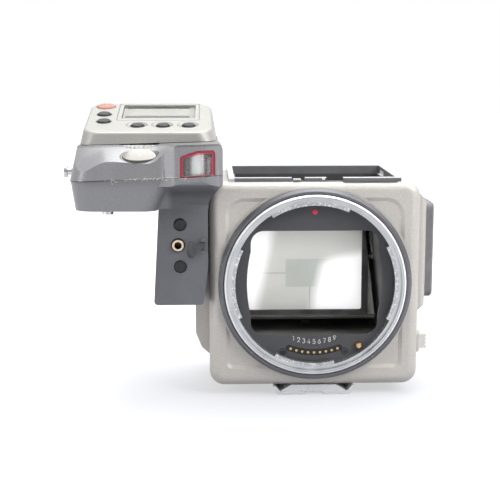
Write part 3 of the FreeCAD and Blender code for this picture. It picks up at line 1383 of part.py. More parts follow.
def hump(inset):
    """Lamp housing: a front view and a plan view crossed, for a wall curved both ways."""
    left, right = HUMP_LEFT - 1.0 + inset, HEAD_RIGHT - inset
    top = HEAD_SHOULDER + 1.0 - inset
    low = HEAD_SPLIT - 5
    front = plate_y([(left, low), (right, low), (right, top), (left, top)],
                    [0, 0, max(0.4, HUMP_TOP_R - inset), 0], HUMP_FRONT - 1, 6)
    nose = HUMP_FRONT + inset
    plan = [(left, 5.0), (left, nose + 4.3), (left + 5.4, nose + 0.9), (right - 7.5, nose),
            (right, nose + 2.6), (right, 5.0)]
    above = plate_z(plan, rounded([0, 1.6, 4.0, 9.0, 3.4, 0], inset), low, top + 1)
    return front.common(above)


def lamp_outline(grow, y0, y1):
    """Front view of the focus lamp's window: its top falls to the left."""
    right, left = -HALF_W - LAMP_OUT[0] + grow, -HALF_W - LAMP_OUT[1] - grow
    low = HEAD_SPLIT - 4
    width = right - left
    points = [(left, low), (right, low), (right, LAMP_TOP), (left + width * 0.5, LAMP_TOP - 0.2),
              (left + width * 0.24, LAMP_TOP - LAMP_DROP * 0.5), (left, LAMP_TOP - LAMP_DROP)]
    return plate_y(points, [0.5, 0.5, 1.4, 4.0, 3.0, 1.2], y0, y1)


def body_room():
    """Space of the body, which the head stays out of."""
    return box(-HALF_W - SEAT_GAP, HALF_W, FRONT_SET - 0.5, SHELL_REAR + 10, BODY_BOTTOM, BODY_TOP + SEAT_GAP)


def release_button_centre():
    """Centre of the release on the shelf's surface."""
    x, y = beside_body(RELEASE_BUTTON_AT)
    return x, y, SHELF_TOP - (SHELF_TOP_Y - y) * math.tan(math.radians(SHELF_SLOPE))


def release_button_tool(grow, z0, z1):
    """Oval prism square to the shelf."""
    x, y, z = release_button_centre()
    oval = Part.Ellipse(V(x, y, z + z0), RELEASE_BUTTON_R[0] + grow, RELEASE_BUTTON_R[1] + grow).toShape()
    tool = prism(Part.Wire([oval]), V(0, 0, z1 - z0))
    return turned_x(tool, y, z, SHELF_SLOPE)


def wheel_centre():
    return WHEEL_X, WHEEL_R - WHEEL_PROUD, HEAD_SHOULDER - WHEEL_THICK / 2 - WHEEL_DROP


def upper_form(inset):
    """Upper shell's form or its hollow, up to the shoulder seam."""
    return cut(fuse([head_form(inset), hump(inset)]), [shelf_tool(inset), shoulder_seam(-inset)])


def grip_front_shell():
    outer = upper_form(0).common(split_seam(0))
    x, y, z = wheel_centre()
    wheel_way = rod_z(x, y, WHEEL_R + 0.6, z - WHEEL_THICK / 2 - SEAT_GAP, HEAD_SHOULDER + 5)
    top_way = box(HEAD_LEFT + 8, HEAD_RIGHT - 6, WHEEL_R + 6, HEAD_BACK - 4,
                  HEAD_SHOULDER - 4, HEAD_SHOULDER + 5)
    return cut(outer, [upper_form(SHELL_WALL), wheel_way, top_way, release_button_tool(SLIDE_GAP, -8, 6),
                       lamp_outline(0.0, HUMP_FRONT - 2, HUMP_FRONT + 9), rear_wheel_slot(), body_room(),
                       lug_hole()])


def af_lamp_window():
    """Lamp window that continues the housing's curved wall."""
    wall = hump(0.15).cut(hump(SHELL_WALL))
    return wall.common(lamp_outline(0.0, HUMP_FRONT - 2, HUMP_FRONT + 6)).common(split_seam(FIT_GAP))


def af_lamp_led():
    """Lamp body behind the window: a reflector with a round emitter."""
    x = -HALF_W - (LAMP_OUT[0] + LAMP_OUT[1]) / 2
    high = LAMP_TOP - LED_BELOW_TOP
    z = high - LED_EYE_DOWN
    wall = HEAD_RIGHT - SHELL_WALL - SEAT_GAP
    holder = box(x - 4.4, wall, HUMP_FRONT + 5.2, HUMP_FRONT + 9, high - LED_H, high)
    cup = Part.makeCone(4.0, 2.0, 2.5, V(x, HUMP_FRONT + 5.1, z), V(0, 1, 0))
    emitter = rod_y(x, z, 1.6, HUMP_FRONT + 4.6, HUMP_FRONT + 8)
    return fuse([holder.cut(cup), emitter])


def lower_left(inset):
    """Left part of the lower shell, tapering to its flat underside."""
    wires = []
    for z, left, front_left, front_right, right in (
            (HEAD_BOTTOM + inset, HEAD_LEFT + 1.3, WALL_FRONT_LEFT + 2.4, WALL_FRONT_RIGHT + 5.2,
             COLUMN_LEFT_TOP),
            (HEAD_SPLIT + 5, HEAD_LEFT - 1.1, WALL_FRONT_LEFT, WALL_FRONT_RIGHT + 1.2, HUMP_LEFT + 5.0)):
        plan = [(left + inset, HEAD_BACK - inset), (left + inset, front_left + inset),
                (right - inset, front_right + inset), (right - inset, HEAD_BACK - inset)]
        radii = rounded([HEAD_BACK_R, HEAD_CORNER_R, 6.0, HEAD_BACK_R], inset)
        wires.append(outline(plan, radii, plan_view(z)))
    return Part.makeLoft(wires, True, True)


def lower_neck(inset):
    """Right part: a rounded chin under the lamp sweeps back in a hollow curve to the column."""
    top = HEAD_SPLIT + 5
    nose = HUMP_FRONT + 0.2 + inset
    chin = HEAD_SPLIT - 3.2
    back, low = HEAD_BACK - inset, HEAD_BOTTOM - 1 * (inset > 0)
    face = COLUMN_FRONT + inset * 0.8
    x0 = HUMP_LEFT + inset - 5
    place = side_view(x0)
    a, b = place(nose, top), place(nose, chin + 3.0 + inset)
    c, d = place(nose + 3.4, chin + inset), place(face, HEAD_BOTTOM + 1.5 + inset)
    round_chin = place(nose + 1.0, chin + 0.9 + inset)
    hollow = place(-3.6 + inset * 0.6, HEAD_SPLIT - 6.0 + inset * 0.6)
    e, g, h = place(face, low), place(back, low), place(back, top)
    edges = [Part.LineSegment(a, b).toShape(), Part.Arc(b, round_chin, c).toShape()]
    edges.append(Part.Arc(c, hollow, d).toShape())
    edges += [Part.LineSegment(p, q).toShape() for p, q in ((d, e), (e, g), (g, h), (h, a))]
    right = HEAD_RIGHT - inset
    block = prism(Part.Wire(edges), V(right - x0, 0, 0))
    left = x0 + 0.2
    plan = [(left, HEAD_BACK), (left, -7.6 + inset), (left + 9.0, nose + 0.8), (right - 7.5, nose),
            (right, nose + 2.6),
            (right, 5.0), (right - 1.8, 5.0), (right - 1.8, HEAD_BACK)]
    above = plate_z(plan, rounded([0, 6.0, 6.0, 9.0, 3.4, 0, 0, 0], inset), HEAD_BOTTOM - 5, top + 1)
    heel = COLUMN_RIGHT_TOP - inset
    view = [(left - 1, HEAD_BOTTOM - 5), (heel, HEAD_BOTTOM - 5), (heel + 0.4, HEAD_BOTTOM + 3.6),
            (right, chin + 0.5),
            (right, top + 1), (left - 1, top + 1)]
    waist = plate_y(view, rounded([0, 0, 6.0, 3.0, 0, 0], inset), HUMP_FRONT - 2, HEAD_BACK + 1)
    return block.common(above).common(waist)


def grip_lower_shell():
    outer = fuse([lower_left(0), lower_neck(0)]).cut(split_seam(-SKIRT_GAP))
    inner = fuse([lower_left(SHELL_WALL), lower_neck(SHELL_WALL)])
    well = box(COLUMN_LEFT_TOP + 2, COLUMN_RIGHT_TOP - 2, COLUMN_FRONT + 2, COLUMN_REAR - 3, HEAD_BOTTOM - 2,
               HEAD_BOTTOM + 3)
    release_way = release_button_tool(SLIDE_GAP, -RELEASE_BUTTON_STEM - SEAT_GAP, 6)
    return cut(outer, [inner, body_room(), well, rear_wheel_slot(), release_way])


def lug_hole():
    return rod_x(STUD_Y, STUD_Z, STUD_R, HEAD_LEFT - 2, HEAD_LEFT + 6)


def grip_side_lug():
    """Mushroom stud for the strap on the head's outer end."""
    stem = rod_x(STUD_Y, STUD_Z, STUD_R, HEAD_LEFT - STUD_REACH + 0.5, HEAD_LEFT + 2.2)
    head = rod_x(STUD_Y, STUD_Z, STUD_R + 1.1, HEAD_LEFT - STUD_REACH, HEAD_LEFT - STUD_REACH + 1.2)
    collar = rod_x(STUD_Y, STUD_Z, STUD_R + 0.9, HEAD_LEFT - 2.0, HEAD_LEFT - 0.9)
    return fuse([stem, head, collar])


def far_side_lug():
    """Matching stud behind the far side's pad."""
    y, z = SHELL_REAR - 2.0, 26.0
    stem = rod_x(y, z, 1.3, HALF_W, HALF_W + 5.0)
    head = rod_x(y, z, 2.2, HALF_W + 4.6, HALF_W + 5.8)
    return fuse([stem, head])


def strap_lugs():
    return Part.makeCompound([grip_side_lug(), far_side_lug()])


def battery_guide_post():
    """Grooved post under the head that the battery grip slides on."""
    x, y = GUIDE_POST
    post = rod_z(x, y, 1.7, HEAD_BOTTOM - GUIDE_POST_LEN + 0.5, HEAD_BOTTOM)
    foot = rod_z(x, y, 2.4, HEAD_BOTTOM - GUIDE_POST_LEN, HEAD_BOTTOM - GUIDE_POST_LEN + 1.2)
    return fuse([post, foot])


def rear_wheel_centre():
    return REAR_WHEEL_X, HEAD_BACK + REAR_COVER_THICK + REAR_WHEEL_PROUD - REAR_WHEEL_R, REAR_WHEEL_Z


def rear_wheel_slot():
    x, y, z = rear_wheel_centre()
    return rod_z(x, y, REAR_WHEEL_R + 0.5, z - REAR_WHEEL_THICK / 2 - 0.3, z + REAR_WHEEL_THICK / 2 + 0.3)


def grip_rear_cover():
    """Back plate of the head, with the rear wheel's slot and a thumb rest."""
    face = HEAD_BACK + REAR_COVER_THICK
    whole = rectangle(HEAD_LEFT + 6, HEAD_RIGHT - 8, HEAD_BOTTOM + 2, HEAD_SHOULDER - 1.5)
    plate = plate_y(whole, 4.0, HEAD_BACK, face)
    thumb = rectangle(HEAD_LEFT + 10, HEAD_LEFT + 23, HEAD_BOTTOM + 6, HEAD_BOTTOM + 20)
    rest = plate_y(thumb, 4.0, face - 0.6, face + 1.8)
    rest = rest.makeChamfer(0.8, edges_at_y(rest, face + 1.8))
    x, z = REAR_BUTTON
    button_way = rod_y(x, z, REAR_BUTTON_R + SLIDE_GAP, HEAD_BACK - 1, HEAD_BACK + 4)
    return cut(fuse([plate, rest]), [rear_wheel_slot(), button_way])


def rear_lock_button():
    x, z = REAR_BUTTON
    cap = rod_y(x, z, REAR_BUTTON_R, HEAD_BACK + REAR_TRAVEL + SEAT_GAP, HEAD_BACK + 2.4)
    return cap.makeChamfer(0.4, edges_at_y(cap, HEAD_BACK + 2.4))


def knurled_wheel(centre, r, thick, teeth, bore):
    """Wheel with shallow vee teeth round its rim."""
    x, y, z = centre
    points = []
    for i in range(teeth):
        for share, rad in ((0.0, r - 0.5), (0.22, r), (0.5, r), (0.72, r - 0.5)):
            t = 2 * math.pi * (i + share) / teeth
            points.append(V(x + rad * math.cos(t), y + rad * math.sin(t), z - thick / 2))
    wheel = prism(Part.makePolygon(points + points[:1]), V(0, 0, thick))
    return wheel.cut(rod_z(x, y, bore, z - thick, z + thick))


def front_control_wheel():
    return knurled_wheel(wheel_centre(), WHEEL_R, WHEEL_THICK, 48, WHEEL_PIN_R + SHAFT_GAP)


def rear_control_wheel():
    return knurled_wheel(rear_wheel_centre(), REAR_WHEEL_R, REAR_WHEEL_THICK, 32, REAR_PIN_R + SHAFT_GAP)


def grip_frame():
    """Inner plate of the head on four posts, with the wheels' axle pins and the release's switch."""
    x, y, z = wheel_centre()
    rx, ry, rz = rear_wheel_centre()
    bx, by, bz = release_button_centre()
    floor = HEAD_BOTTOM + SHELL_WALL
    level = rz - REAR_WHEEL_THICK / 2 - FIT_GAP
    plan = rectangle(HEAD_LEFT + 10, HEAD_RIGHT - 12, 3, HEAD_BACK - 6)
    plate = plate_z(plan, 4.0, level - FRAME_THICK, level)
    seat = z - WHEEL_THICK / 2 - FIT_GAP
    pieces = [plate, rod_z(x, y, WHEEL_PIN_R, level - 1, z + WHEEL_THICK / 2),
              rod_z(x, y, WHEEL_PIN_R + 2, level - 1, seat),
              rod_z(rx, ry, REAR_PIN_R, level - 1, rz + REAR_WHEEL_THICK / 2 + 1),
              plate_z(rectangle(bx - 4, bx + 4, by - 1, 4), 0, level - FRAME_THICK, level),
              rod_z(bx, by + 3.0, 2.2, level - 1, bz - 5.6)]
    pieces += [rod_z(px, py, 2.0, floor, level - 0.5)
               for px in (HEAD_LEFT + 15, -72.0) for py in (8, HEAD_BACK - 12)]
    return fuse(pieces)


def shutter_release_button():
    """Oval crowned button on the sloping shelf."""
    x, y, z = release_button_centre()
    oval = release_button_tool(0, -RELEASE_BUTTON_STEM, RELEASE_BUTTON_RISE + 0.5)
    ball_r = 30.0
    crown = Part.makeSphere(ball_r, V(x, y, z + RELEASE_BUTTON_RISE - ball_r))
    return oval.common(turned_x(crown, y, z, SHELF_SLOPE))


# Top cover

def top_cover_form(inset):
    """Loft from the skirt outline up to the tilted deck outline."""
    base_z = HEAD_SHOULDER - 3.0
    skirt = outline([(SKIRT_LEFT + inset, SKIRT_BACK - inset), (SKIRT_LEFT + inset, inset),
                     (SKIRT_RIGHT - inset, inset), (SKIRT_RIGHT - inset, SKIRT_BACK - inset)],
                    SKIRT_R - inset, plan_view(base_z))
    slope = math.radians(DECK_SLOPE)

    def tilt(a, s):
        return V(a, DECK_FRONT_Y + s * math.cos(slope) + inset * math.sin(slope),
                 DECK_FRONT_Z + s * math.sin(slope) - inset * math.cos(slope))
    deck = outline([(DECK_LEFT + inset, DECK_LENGTH - inset), (DECK_LEFT + inset, inset),
                    (DECK_RIGHT - inset, inset), (DECK_RIGHT - inset, DECK_LENGTH - inset)],
                   rounded([DECK_CORNER_R, DECK_CORNER_R, DECK_CORNER_R, DECK_BACK_R], inset), tilt)
    return Part.makeLoft([skirt, deck], True, True)


def grip_top_cover():
    blank = top_cover_form(0)
    blank = blank.makeFillet(DECK_EDGE_R, [e for e in blank.Edges if on_deck_plane(e)])
    blank = blank.common(shoulder_seam(SKIRT_GAP))
    x0, x1 = LCD_X
    s0, s1 = LCD_S
    tools = [top_cover_form(SHELL_WALL), deck_box(x0, x1, s0, s1, -6, 3), display_groove()]
    for (x, s), r in button_places():
        tools.append(deck_rod(x, s, r + SLIDE_GAP, -6, 3))
    for x, s in FRONT_BUTTONS:
        tools.append(on_deck(Part.makeSphere(DISH_BALL_R, V(x, s, DISH_BALL_R - DISH_SINK))))
    return cut(blank, tools)


def button_places():
    places = [(POWER_PLACE, POWER_R)]
    places += [(place, SIDE_BUTTON_R) for place in SIDE_BUTTONS]
    return places + [(place, FRONT_BUTTON_R) for place in FRONT_BUTTONS]


def display_groove():
    """Fine groove round the display's border."""
    side, low = LCD_GROOVE
    x0, x1 = LCD_X[0] - side, LCD_X[1] + side
    s0, s1 = LCD_S[0] - low, LCD_S[1] + side
    w = LCD_GROOVE_W
    outer = plate_z(rectangle(x0, x1, s0, s1), 1.5, -0.3, 1)
    inner = plate_z(rectangle(x0 + w, x1 - w, s0 + w, s1 - w), 1.5 - w, -1, 2)
    return on_deck(outer.cut(inner))


def on_deck_plane(edge):
    """True for an edge that lies in the tilted top plane."""
    slope = math.radians(DECK_SLOPE)
    middle = edge.valueAt((edge.FirstParameter + edge.LastParameter) / 2)
    for v in (edge.Vertexes[0].Point, edge.Vertexes[-1].Point, middle):
        away = (v.z - DECK_FRONT_Z) * math.cos(slope) - (v.y - DECK_FRONT_Y) * math.sin(slope)
        if abs(away) > 1e-3:
            return False
    return True


def lcd_window():
    x0, x1 = LCD_X
    s0, s1 = LCD_S
    return deck_box(x0 + FIT_GAP, x1 - FIT_GAP, s0 + FIT_GAP, s1 - FIT_GAP, -LCD_SINK - LCD_GLASS, -LCD_SINK)


def lcd_module():
    """Display behind its window, on a board that is wider than the opening."""
    x0, x1 = LCD_X
    s0, s1 = LCD_S
    board_top = -SHELL_WALL - SEAT_GAP
    glass = deck_box(x0 + 0.4, x1 - 0.4, s0 + 0.4, s1 - 0.4, board_top - 0.1, -LCD_SINK - LCD_GLASS)
    board = deck_box(x0 - 1.5, x1 + 1.5, s0 - 1.5, s1 + 0.8, board_top - 1.2, board_top)
    return fuse([glass, board])


def deck_button(place, r, rise, crown):
    """Button through the deck, with a flange under it."""
    x, s = place
    cap = rod_z(x, s, r, -SHELL_WALL - 0.6, rise)
    cap = cap.makeChamfer(crown, [e for e in cap.Edges if e.BoundBox.ZMin > rise - 1e-4])
    flange = rod_z(x, s, r + 0.35, -SHELL_WALL - 1.4, -SHELL_WALL - 0.5)
    return on_deck(fuse([cap, flange]))


def power_button():
    return deck_button(POWER_PLACE, POWER_R, 0.6, 0.5)


def side_button(i):
    return lambda: deck_button(SIDE_BUTTONS[i], SIDE_BUTTON_R, 0.7, 0.5)


def front_button(i):
    return lambda: deck_button(FRONT_BUTTONS[i], FRONT_BUTTON_R, 0.3, 0.5)


NODES = {
    "chassis": chassis,
    "front_cover": front_cover,
    "main_shell": main_shell,
    "side_cover": side_cover,
    "side_pad": side_pad,
    "grip_side_cover": grip_side_cover,
    "mount_surround_ring": mount_surround_ring,
    "bayonet_flange": bayonet_flange,
    "throat_plate": throat_plate,
    "fixing_screws": fixing_screws,
    "lens_contact_block": lens_contact_block,
    "lens_contact_pins": lens_contact_pins,
    "lens_lock_pin": lens_lock_pin,
    "lens_release_button": lens_release_button,
    "finder_rail_frame": finder_rail_frame,
    "finder_catch": finder_catch,
    "screen_frame": screen_frame,
    "focusing_screen": focusing_screen,
    "rear_frame": rear_frame,
    "upper_shutter_leaf": upper_shutter_leaf,
    "lower_shutter_leaf": lower_shutter_leaf,
    "magazine_support": magazine_support,
    "magazine_catch": magazine_catch,
    "mirror_glass": mirror_glass,
    "mirror_tray": mirror_tray,
    "sub_mirror": sub_mirror,
    "mirror_links": mirror_links,
    "mirror_idler_gear": mirror_idler_gear,
    "motor_pinion": motor_pinion,
    "drive_motor": drive_motor,
    "af_sensor_module": af_sensor_module,
    "main_circuit_board": main_circuit_board,
    "tripod_foot": tripod_foot,
    "grip_column": grip_column,
    "mirror_up_button": mirror_up_button,
    "stop_down_button": stop_down_button,
    "sync_terminal": sync_terminal,
    "sync_cap": sync_cap,
    "grip_lower_shell": grip_lower_shell,
    "grip_front_shell": grip_front_shell,
    "grip_rear_cover": grip_rear_cover,
    "rear_lock_button": rear_lock_button,
    "af_lamp_window": af_lamp_window,
    "af_lamp_led": af_lamp_led,
    "shutter_release_button": shutter_release_button,
    "front_control_wheel": front_control_wheel,
    "rear_control_wheel": rear_control_wheel,
    "grip_frame": grip_frame,
    "strap_lugs": strap_lugs,
    "battery_guide_post": battery_guide_post,
    "grip_top_cover": grip_top_cover,
    "lcd_window": lcd_window,
    "lcd_module": lcd_module,
    "power_button": power_button,
    "side_button_1": side_button(0),
    "side_button_2": side_button(1),
    "front_button_1": front_button(0),
    "front_button_2": front_button(1),
    "front_button_3": front_button(2),
}

if __name__ == "__main__":
    os.makedirs("parts", exist_ok=True)
    for name, make in NODES.items():
        shape = make()
        if not shape.isValid() or not shape.Solids:
            print("invalid", name)
        shape.exportStep("parts/" + name + ".step")
        print(name, len(shape.Solids), round(shape.Volume, 1))
    print("nodes", len(NODES))
    print("link pivot", link_pivot(), "link pin", link_pin(False), "swing", link_swing())
    print("sub hinge", mirror_point(SUB_ALONG, SUB_BEHIND, False))
    print("idler", idler_centre(), "pinion", pinion_centre())
    print("leaf travel", leaf_travel())
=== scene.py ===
"""Medium format camera body: finishes, fine pieces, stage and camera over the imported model."""

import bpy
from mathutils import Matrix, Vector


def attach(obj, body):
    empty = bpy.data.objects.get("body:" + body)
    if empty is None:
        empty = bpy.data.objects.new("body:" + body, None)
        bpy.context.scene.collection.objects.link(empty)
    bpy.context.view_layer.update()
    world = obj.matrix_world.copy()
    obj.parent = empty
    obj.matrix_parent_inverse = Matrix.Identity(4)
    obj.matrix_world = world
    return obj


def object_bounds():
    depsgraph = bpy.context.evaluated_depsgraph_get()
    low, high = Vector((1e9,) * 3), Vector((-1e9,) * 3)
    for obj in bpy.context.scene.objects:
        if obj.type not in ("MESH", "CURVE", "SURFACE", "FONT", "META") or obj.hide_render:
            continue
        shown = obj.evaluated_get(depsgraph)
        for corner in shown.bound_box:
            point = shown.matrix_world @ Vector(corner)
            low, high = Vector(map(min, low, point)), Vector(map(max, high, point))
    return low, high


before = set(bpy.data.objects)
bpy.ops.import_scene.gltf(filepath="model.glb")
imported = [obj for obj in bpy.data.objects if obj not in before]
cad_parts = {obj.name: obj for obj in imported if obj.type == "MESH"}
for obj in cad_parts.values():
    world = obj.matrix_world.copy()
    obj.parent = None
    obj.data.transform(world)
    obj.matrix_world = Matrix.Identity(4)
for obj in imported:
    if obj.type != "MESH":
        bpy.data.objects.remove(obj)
CAD_BOX = [list(corner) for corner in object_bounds()]

import math

import bmesh
import bpy
import numpy as np
from bpy.props import FloatProperty, FloatVectorProperty, IntProperty, PointerProperty
from bpy.types import Operator, Panel, PropertyGroup
from mathutils import Vector

bl_info = {
    "name": "Medium Format Camera Body",
    "version": (1, 0, 0),
    "blender": (4, 5, 0),
    "location": "3D View > Sidebar > Camera Body",
    "description": "Finishes and fine pieces of a medium format camera body over its packed model",
    "category": "Object",
}

MM = 0.001
ROOT = "camera_body"
SHARP_ANGLE = math.radians(35.0)

# Places on the camera, in millimetres from the lens axis: X to the side pad, Y to the back, Z up.
# The grip head's seams rise to the side pad: level at the head's middle, and tilt in degrees.
HEAD_MIDDLE = -70.45
SPLIT_SEAM = (46.75, 3.0)
SHOULDER_SEAM = (60.2, 1.5)
# Under the grip head, where shade is painted on the lower shell: its sides in X and its top in Z.
NECK_SIDE = (-62.5, -60.0)
NECK_TOP = (40.5, 43.0)

# The sloping deck starts at a Y and a Z and tilts back. On it, places are X and the way up the slope.
# Each key's dish carries rings of painted shade: radius, width and share.
DECK_START = (0.6, 64.8)
DECK_TILT = 13.4
DISPLAY_GROOVE = ((-84.3, -48.7), (17.8, 44.1))
GROOVE_WIDTH = 0.35
GROOVE_SHARE = 0.55
FRONT_KEYS = ((-75.15, 11.2), (-64.4, 11.2), (-53.65, 11.2))
FRONT_RINGS = ((4.4, 0.5, 0.85), (3.7, 0.9, 0.3))
SIDE_RINGS = (((-90.2, 39.8), 4.3, 0.4, 0.6), ((-90.0, 27.2), 3.3, 0.4, 0.6), ((-89.3, 16.2), 3.3, 0.4, 0.6))
DISPLAY_SIDES = (-80.8, -53.2)
# The bands up the slope where the shadows of the display window's edges are painted.
DISPLAY_SHADOW_BANDS = ((25.0, 28.0), (39.4, 43.0))

# The shutter release's middle in X and Y with its half widths, and the flash socket in X and Z.
RELEASE_AT = (-73.1, -7.0)
RELEASE_HALF = (6.8, 3.34)
SYNC_AT = (-58.0, 17.5)

# The lens mount, in X and Z or as radii. Its marks lie on the throat plate's face, a Y; the contact figures
# stand on an arc, each turned from the last by the pitch in degrees.
LOCK_PIN_AT = (19.2, -27.1)
THROAT_SCREWS = ((-13.26, -29.78), (13.26, -29.78))
LUG_ROOT = 35.5
BEVEL_FOOT = 37.55
INDEX_HEIGHT = 30.8
THROAT_FACE = 5.5
MARK_SINK = (5.62, 5.79)
FIGURE_ARC = 26.4
CONTACT_PITCH = 4.9
CONTACTS = 9
STROKE_WIDTH = 0.28
STROKE_DEPTHS = (THROAT_FACE - 0.02, THROAT_FACE + 0.2)

# The focus lamp: its window's sides and top, and the sheet bent behind it, its half turn in radians.
LAMP_SIDES = (-55.2, -43.6)
LAMP_TOP = 57.2
LAMP_MIDDLE = -49.6
SHEET_RADII = (6.0, 5.7)
SHEET_LEVELS = (47.6, 57.4)
SHEET_BACK = -6.2
SHEET_DEPTH_SHARE = 0.85
SHEET_HALF_TURN = 1.25
SHEET_STEPS = 40

# The finder seat's top plane: it passes through a Y and a Z and rises to the back.
SEAT_TOP = (6.0, 45.1)
SEAT_SLOPE = 0.0176

# The focusing screen's metering rectangle and lines, in X and Y.
METERING = ((-8.5, 14.6), (23.5, 37.1))
SCREEN_LINE_Y = 30.3
SCREEN_STEM_X = 3.1
SCREEN_LINE_WIDTH = 0.28

# The stage, in metres and watts: each lamp's place, its width and height, and its power.
LAMPS = {
    "key_light": ((0.62, -0.42, 0.66), (0.5, 0.5), 6.5),
    "top_light": ((0.05, 0.2, 0.9), (0.8, 0.8), 10.8),
    "right_strip": ((0.52, -0.5, 0.06), (0.08, 0.7), 1.3),
    "left_strip": ((-0.62, -0.3, 0.16), (0.12, 0.7), 2.0),
}
CAMERA_AT = (-0.045, -0.4551, 0.0901)
PAPER = (0.27, 0.275, 0.30)
WHITE = (1.0, 1.0, 1.0)
ROOM_LIGHT = 0.66


def linear(code):
    """sRGB hex to linear colour: each channel c/12.92 up to 0.04045, else ((c+0.055)/1.055)^2.4."""
    c = np.array([int(code[i:i + 2], 16) for i in (0, 2, 4)]) / 255.0
    return tuple(np.where(c <= 0.04045, c / 12.92, ((c + 0.055) / 1.055) ** 2.4).tolist())


def colour_prop(name, code, description):
    return FloatVectorProperty(name=name, subtype="COLOR", size=3, min=0.0, max=1.0, default=linear(code),
                               description=description)


class CoverColours(PropertyGroup):
    """Lacquers and mouldings of the outer covers."""
    lacquer: colour_prop("Housing lacquer", "C2BEB8", "Warm grey lacquer of the cast housing")
    top_lacquer: colour_prop("Top cover lacquer", "A2A19C", "Pale lacquer of the sloping top cover")
    upper_shell: colour_prop("Upper grip shell", "8C8C8E", "Satin lacquer of the grip's upper shell")
    lower_shell: colour_prop("Lower grip shell", "858588", "Satin lacquer of the grip's lower shell")
    column: colour_prop("Grip column", "696A6E", "Moulded column under the grip head")
    rubber: colour_prop("Rubber", "7C7B7D", "Moulded side pad")


class PartColours(PropertyGroup):
    """Small parts."""
    ring: colour_prop("Mount ring", "67686B", "Anodised ring round the bayonet")
    throat: colour_prop("Throat plate", "4B4B4E", "Dark plate behind the bayonet")
    key_black: colour_prop("Dark keys", "2E2E30", "Moulded keys")
    key_red: colour_prop("Power key", "AC7D70", "Red power key")
    release: colour_prop("Shutter release", "7D7A71", "Pale oval release")
    lamp: colour_prop("Lamp window", "A8203C", "Red lamp window")
    index: colour_prop("Index mark", "EE4458", "Red lens index mark")
    gold: colour_prop("Contacts", "C2A878", "Gold plated contacts")


class FineSizes(PropertyGroup):
    """Sizes of the fine pieces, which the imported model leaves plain."""
    index_radius: FloatProperty(name="Index mark radius", default=1.15 * MM, min=0.0, unit="LENGTH",
                                description="Radius of the red lens index mark")
    figure_height: FloatProperty(name="Figure height", default=1.9 * MM, min=0.0, unit="LENGTH",
                                 description="Height of the contact figures")
    round_steps: IntProperty(name="Round steps", default=64, min=12, max=256,
                             description="Steps round a turned piece")


class StageSizes(PropertyGroup):
    """Floor, lights and camera."""
    floor: FloatProperty(name="Floor width", default=6.0, min=1.0, unit="LENGTH",
                         description="Width of the square floor")
    lens: FloatProperty(name="Lens", default=79.2, min=10.0,
                        description="Focal length in millimetres on a 36 mm wide picture")
    pitch: FloatProperty(name="Camera pitch", default=math.radians(9.29), subtype="ANGLE",
                         description="How far the camera looks down")
    yaw: FloatProperty(name="Camera yaw", default=math.radians(2.16), subtype="ANGLE",
                       description="How far the camera looks to the right")


def output(value):
    """A socket itself, or a node's first open output."""
    return next(s for s in value.outputs if s.enabled) if isinstance(value, bpy.types.Node) else value


def add(tree, kind, *inputs, **settings):
    """Adds a node with its settings, and sets or links its inputs.

    The inputs come in the order of the node's open sockets, or by name in one dictionary."""
    node = tree.nodes.new("ShaderNode" + kind)
    for key, value in settings.items():
        setattr(node, key, value)
    if inputs and isinstance(inputs[0], dict):
        pairs = [(node.inputs[key], value) for key, value in inputs[0].items()]
    else:
        pairs = list(zip([socket for socket in node.inputs if socket.enabled], inputs))
    for socket, value in pairs:
        if isinstance(value, (bpy.types.Node, bpy.types.NodeSocket)):
            tree.links.new(output(value), socket)
        elif socket.type == "RGBA":
            socket.default_value = tuple(value)[:3] + (1.0,)
        else:
            socket.default_value = value
    return node


def start(name, **values):
    """Material with a Principled shader set to the values; also its tree, shader and Object coordinates."""
    material = bpy.data.materials.new(name)
    material.use_nodes = True
    tree = material.node_tree
    tree.nodes.clear()
    shader = add(tree, "BsdfPrincipled", {key.replace("_", " "): value for key, value in values.items()})
    add(tree, "OutputMaterial", {"Surface": shader})
    return material, tree, shader, add(tree, "TexCoord").outputs["Object"]


def lay(tree, shader, tone, rough=None, height=None, depth=0.0):
    """Links the colour and, where given, the roughness and a relief.

    The relief is depth millimetres deep over a height from 0 to 1."""
    tree.links.new(output(tone), shader.inputs["Base Color"])
    if rough is not None:
        tree.links.new(output(rough), shader.inputs["Roughness"])
    if height is not None:
        bump = add(tree, "Bump", {"Height": height, "Distance": depth * MM, "Strength": 1.0})
        tree.links.new(output(bump), shader.inputs["Normal"])


def shade(colour, factor):
    return tuple(min(1.0, c * factor) for c in colour)


def painted(tree, base, *coats):
    """Lays coats over a base colour in order; each is a share from 0 to 1 and its colour."""
    for share, colour in coats:
        base = add(tree, "Mix", share, base, colour, data_type="RGBA")
    return base


def blotches(tree, coords, size, detail=2.0, rough=0.5, stretch=None):
    """Noise whose blotches are about size millimetres across; stretch squeezes them along each axis."""
    if stretch:
        coords = add(tree, "Mapping", {"Vector": coords, "Scale": stretch})
    settings = {"Vector": coords, "Scale": 1.0 / (size * MM), "Detail": detail, "Roughness": rough}
    return add(tree, "TexNoise", settings)


def place(tree, coords):
    """X, Y and Z on the surface in millimetres."""
    return add(tree, "SeparateXYZ", add(tree, "VectorMath", coords, 1.0 / MM, operation="SCALE")).outputs


def both(tree, mask, *others):
    """Product of masks: 1 only where each is 1."""
    for other in others:
        mask = add(tree, "Math", mask, other, operation="MULTIPLY")
    return mask


def either(tree, mask, *others):
    """Largest of masks."""
    for other in others:
        mask = add(tree, "Math", mask, other, operation="MAXIMUM")
    return mask


def leaning(tree, value, other, slope, shift=0.0):
    """value + slope * other + shift: a coordinate measured from a line that leans by the slope."""
    drift = add(tree, "Math", other, slope, shift, operation="MULTIPLY_ADD")
    return add(tree, "Math", value, drift, operation="ADD")


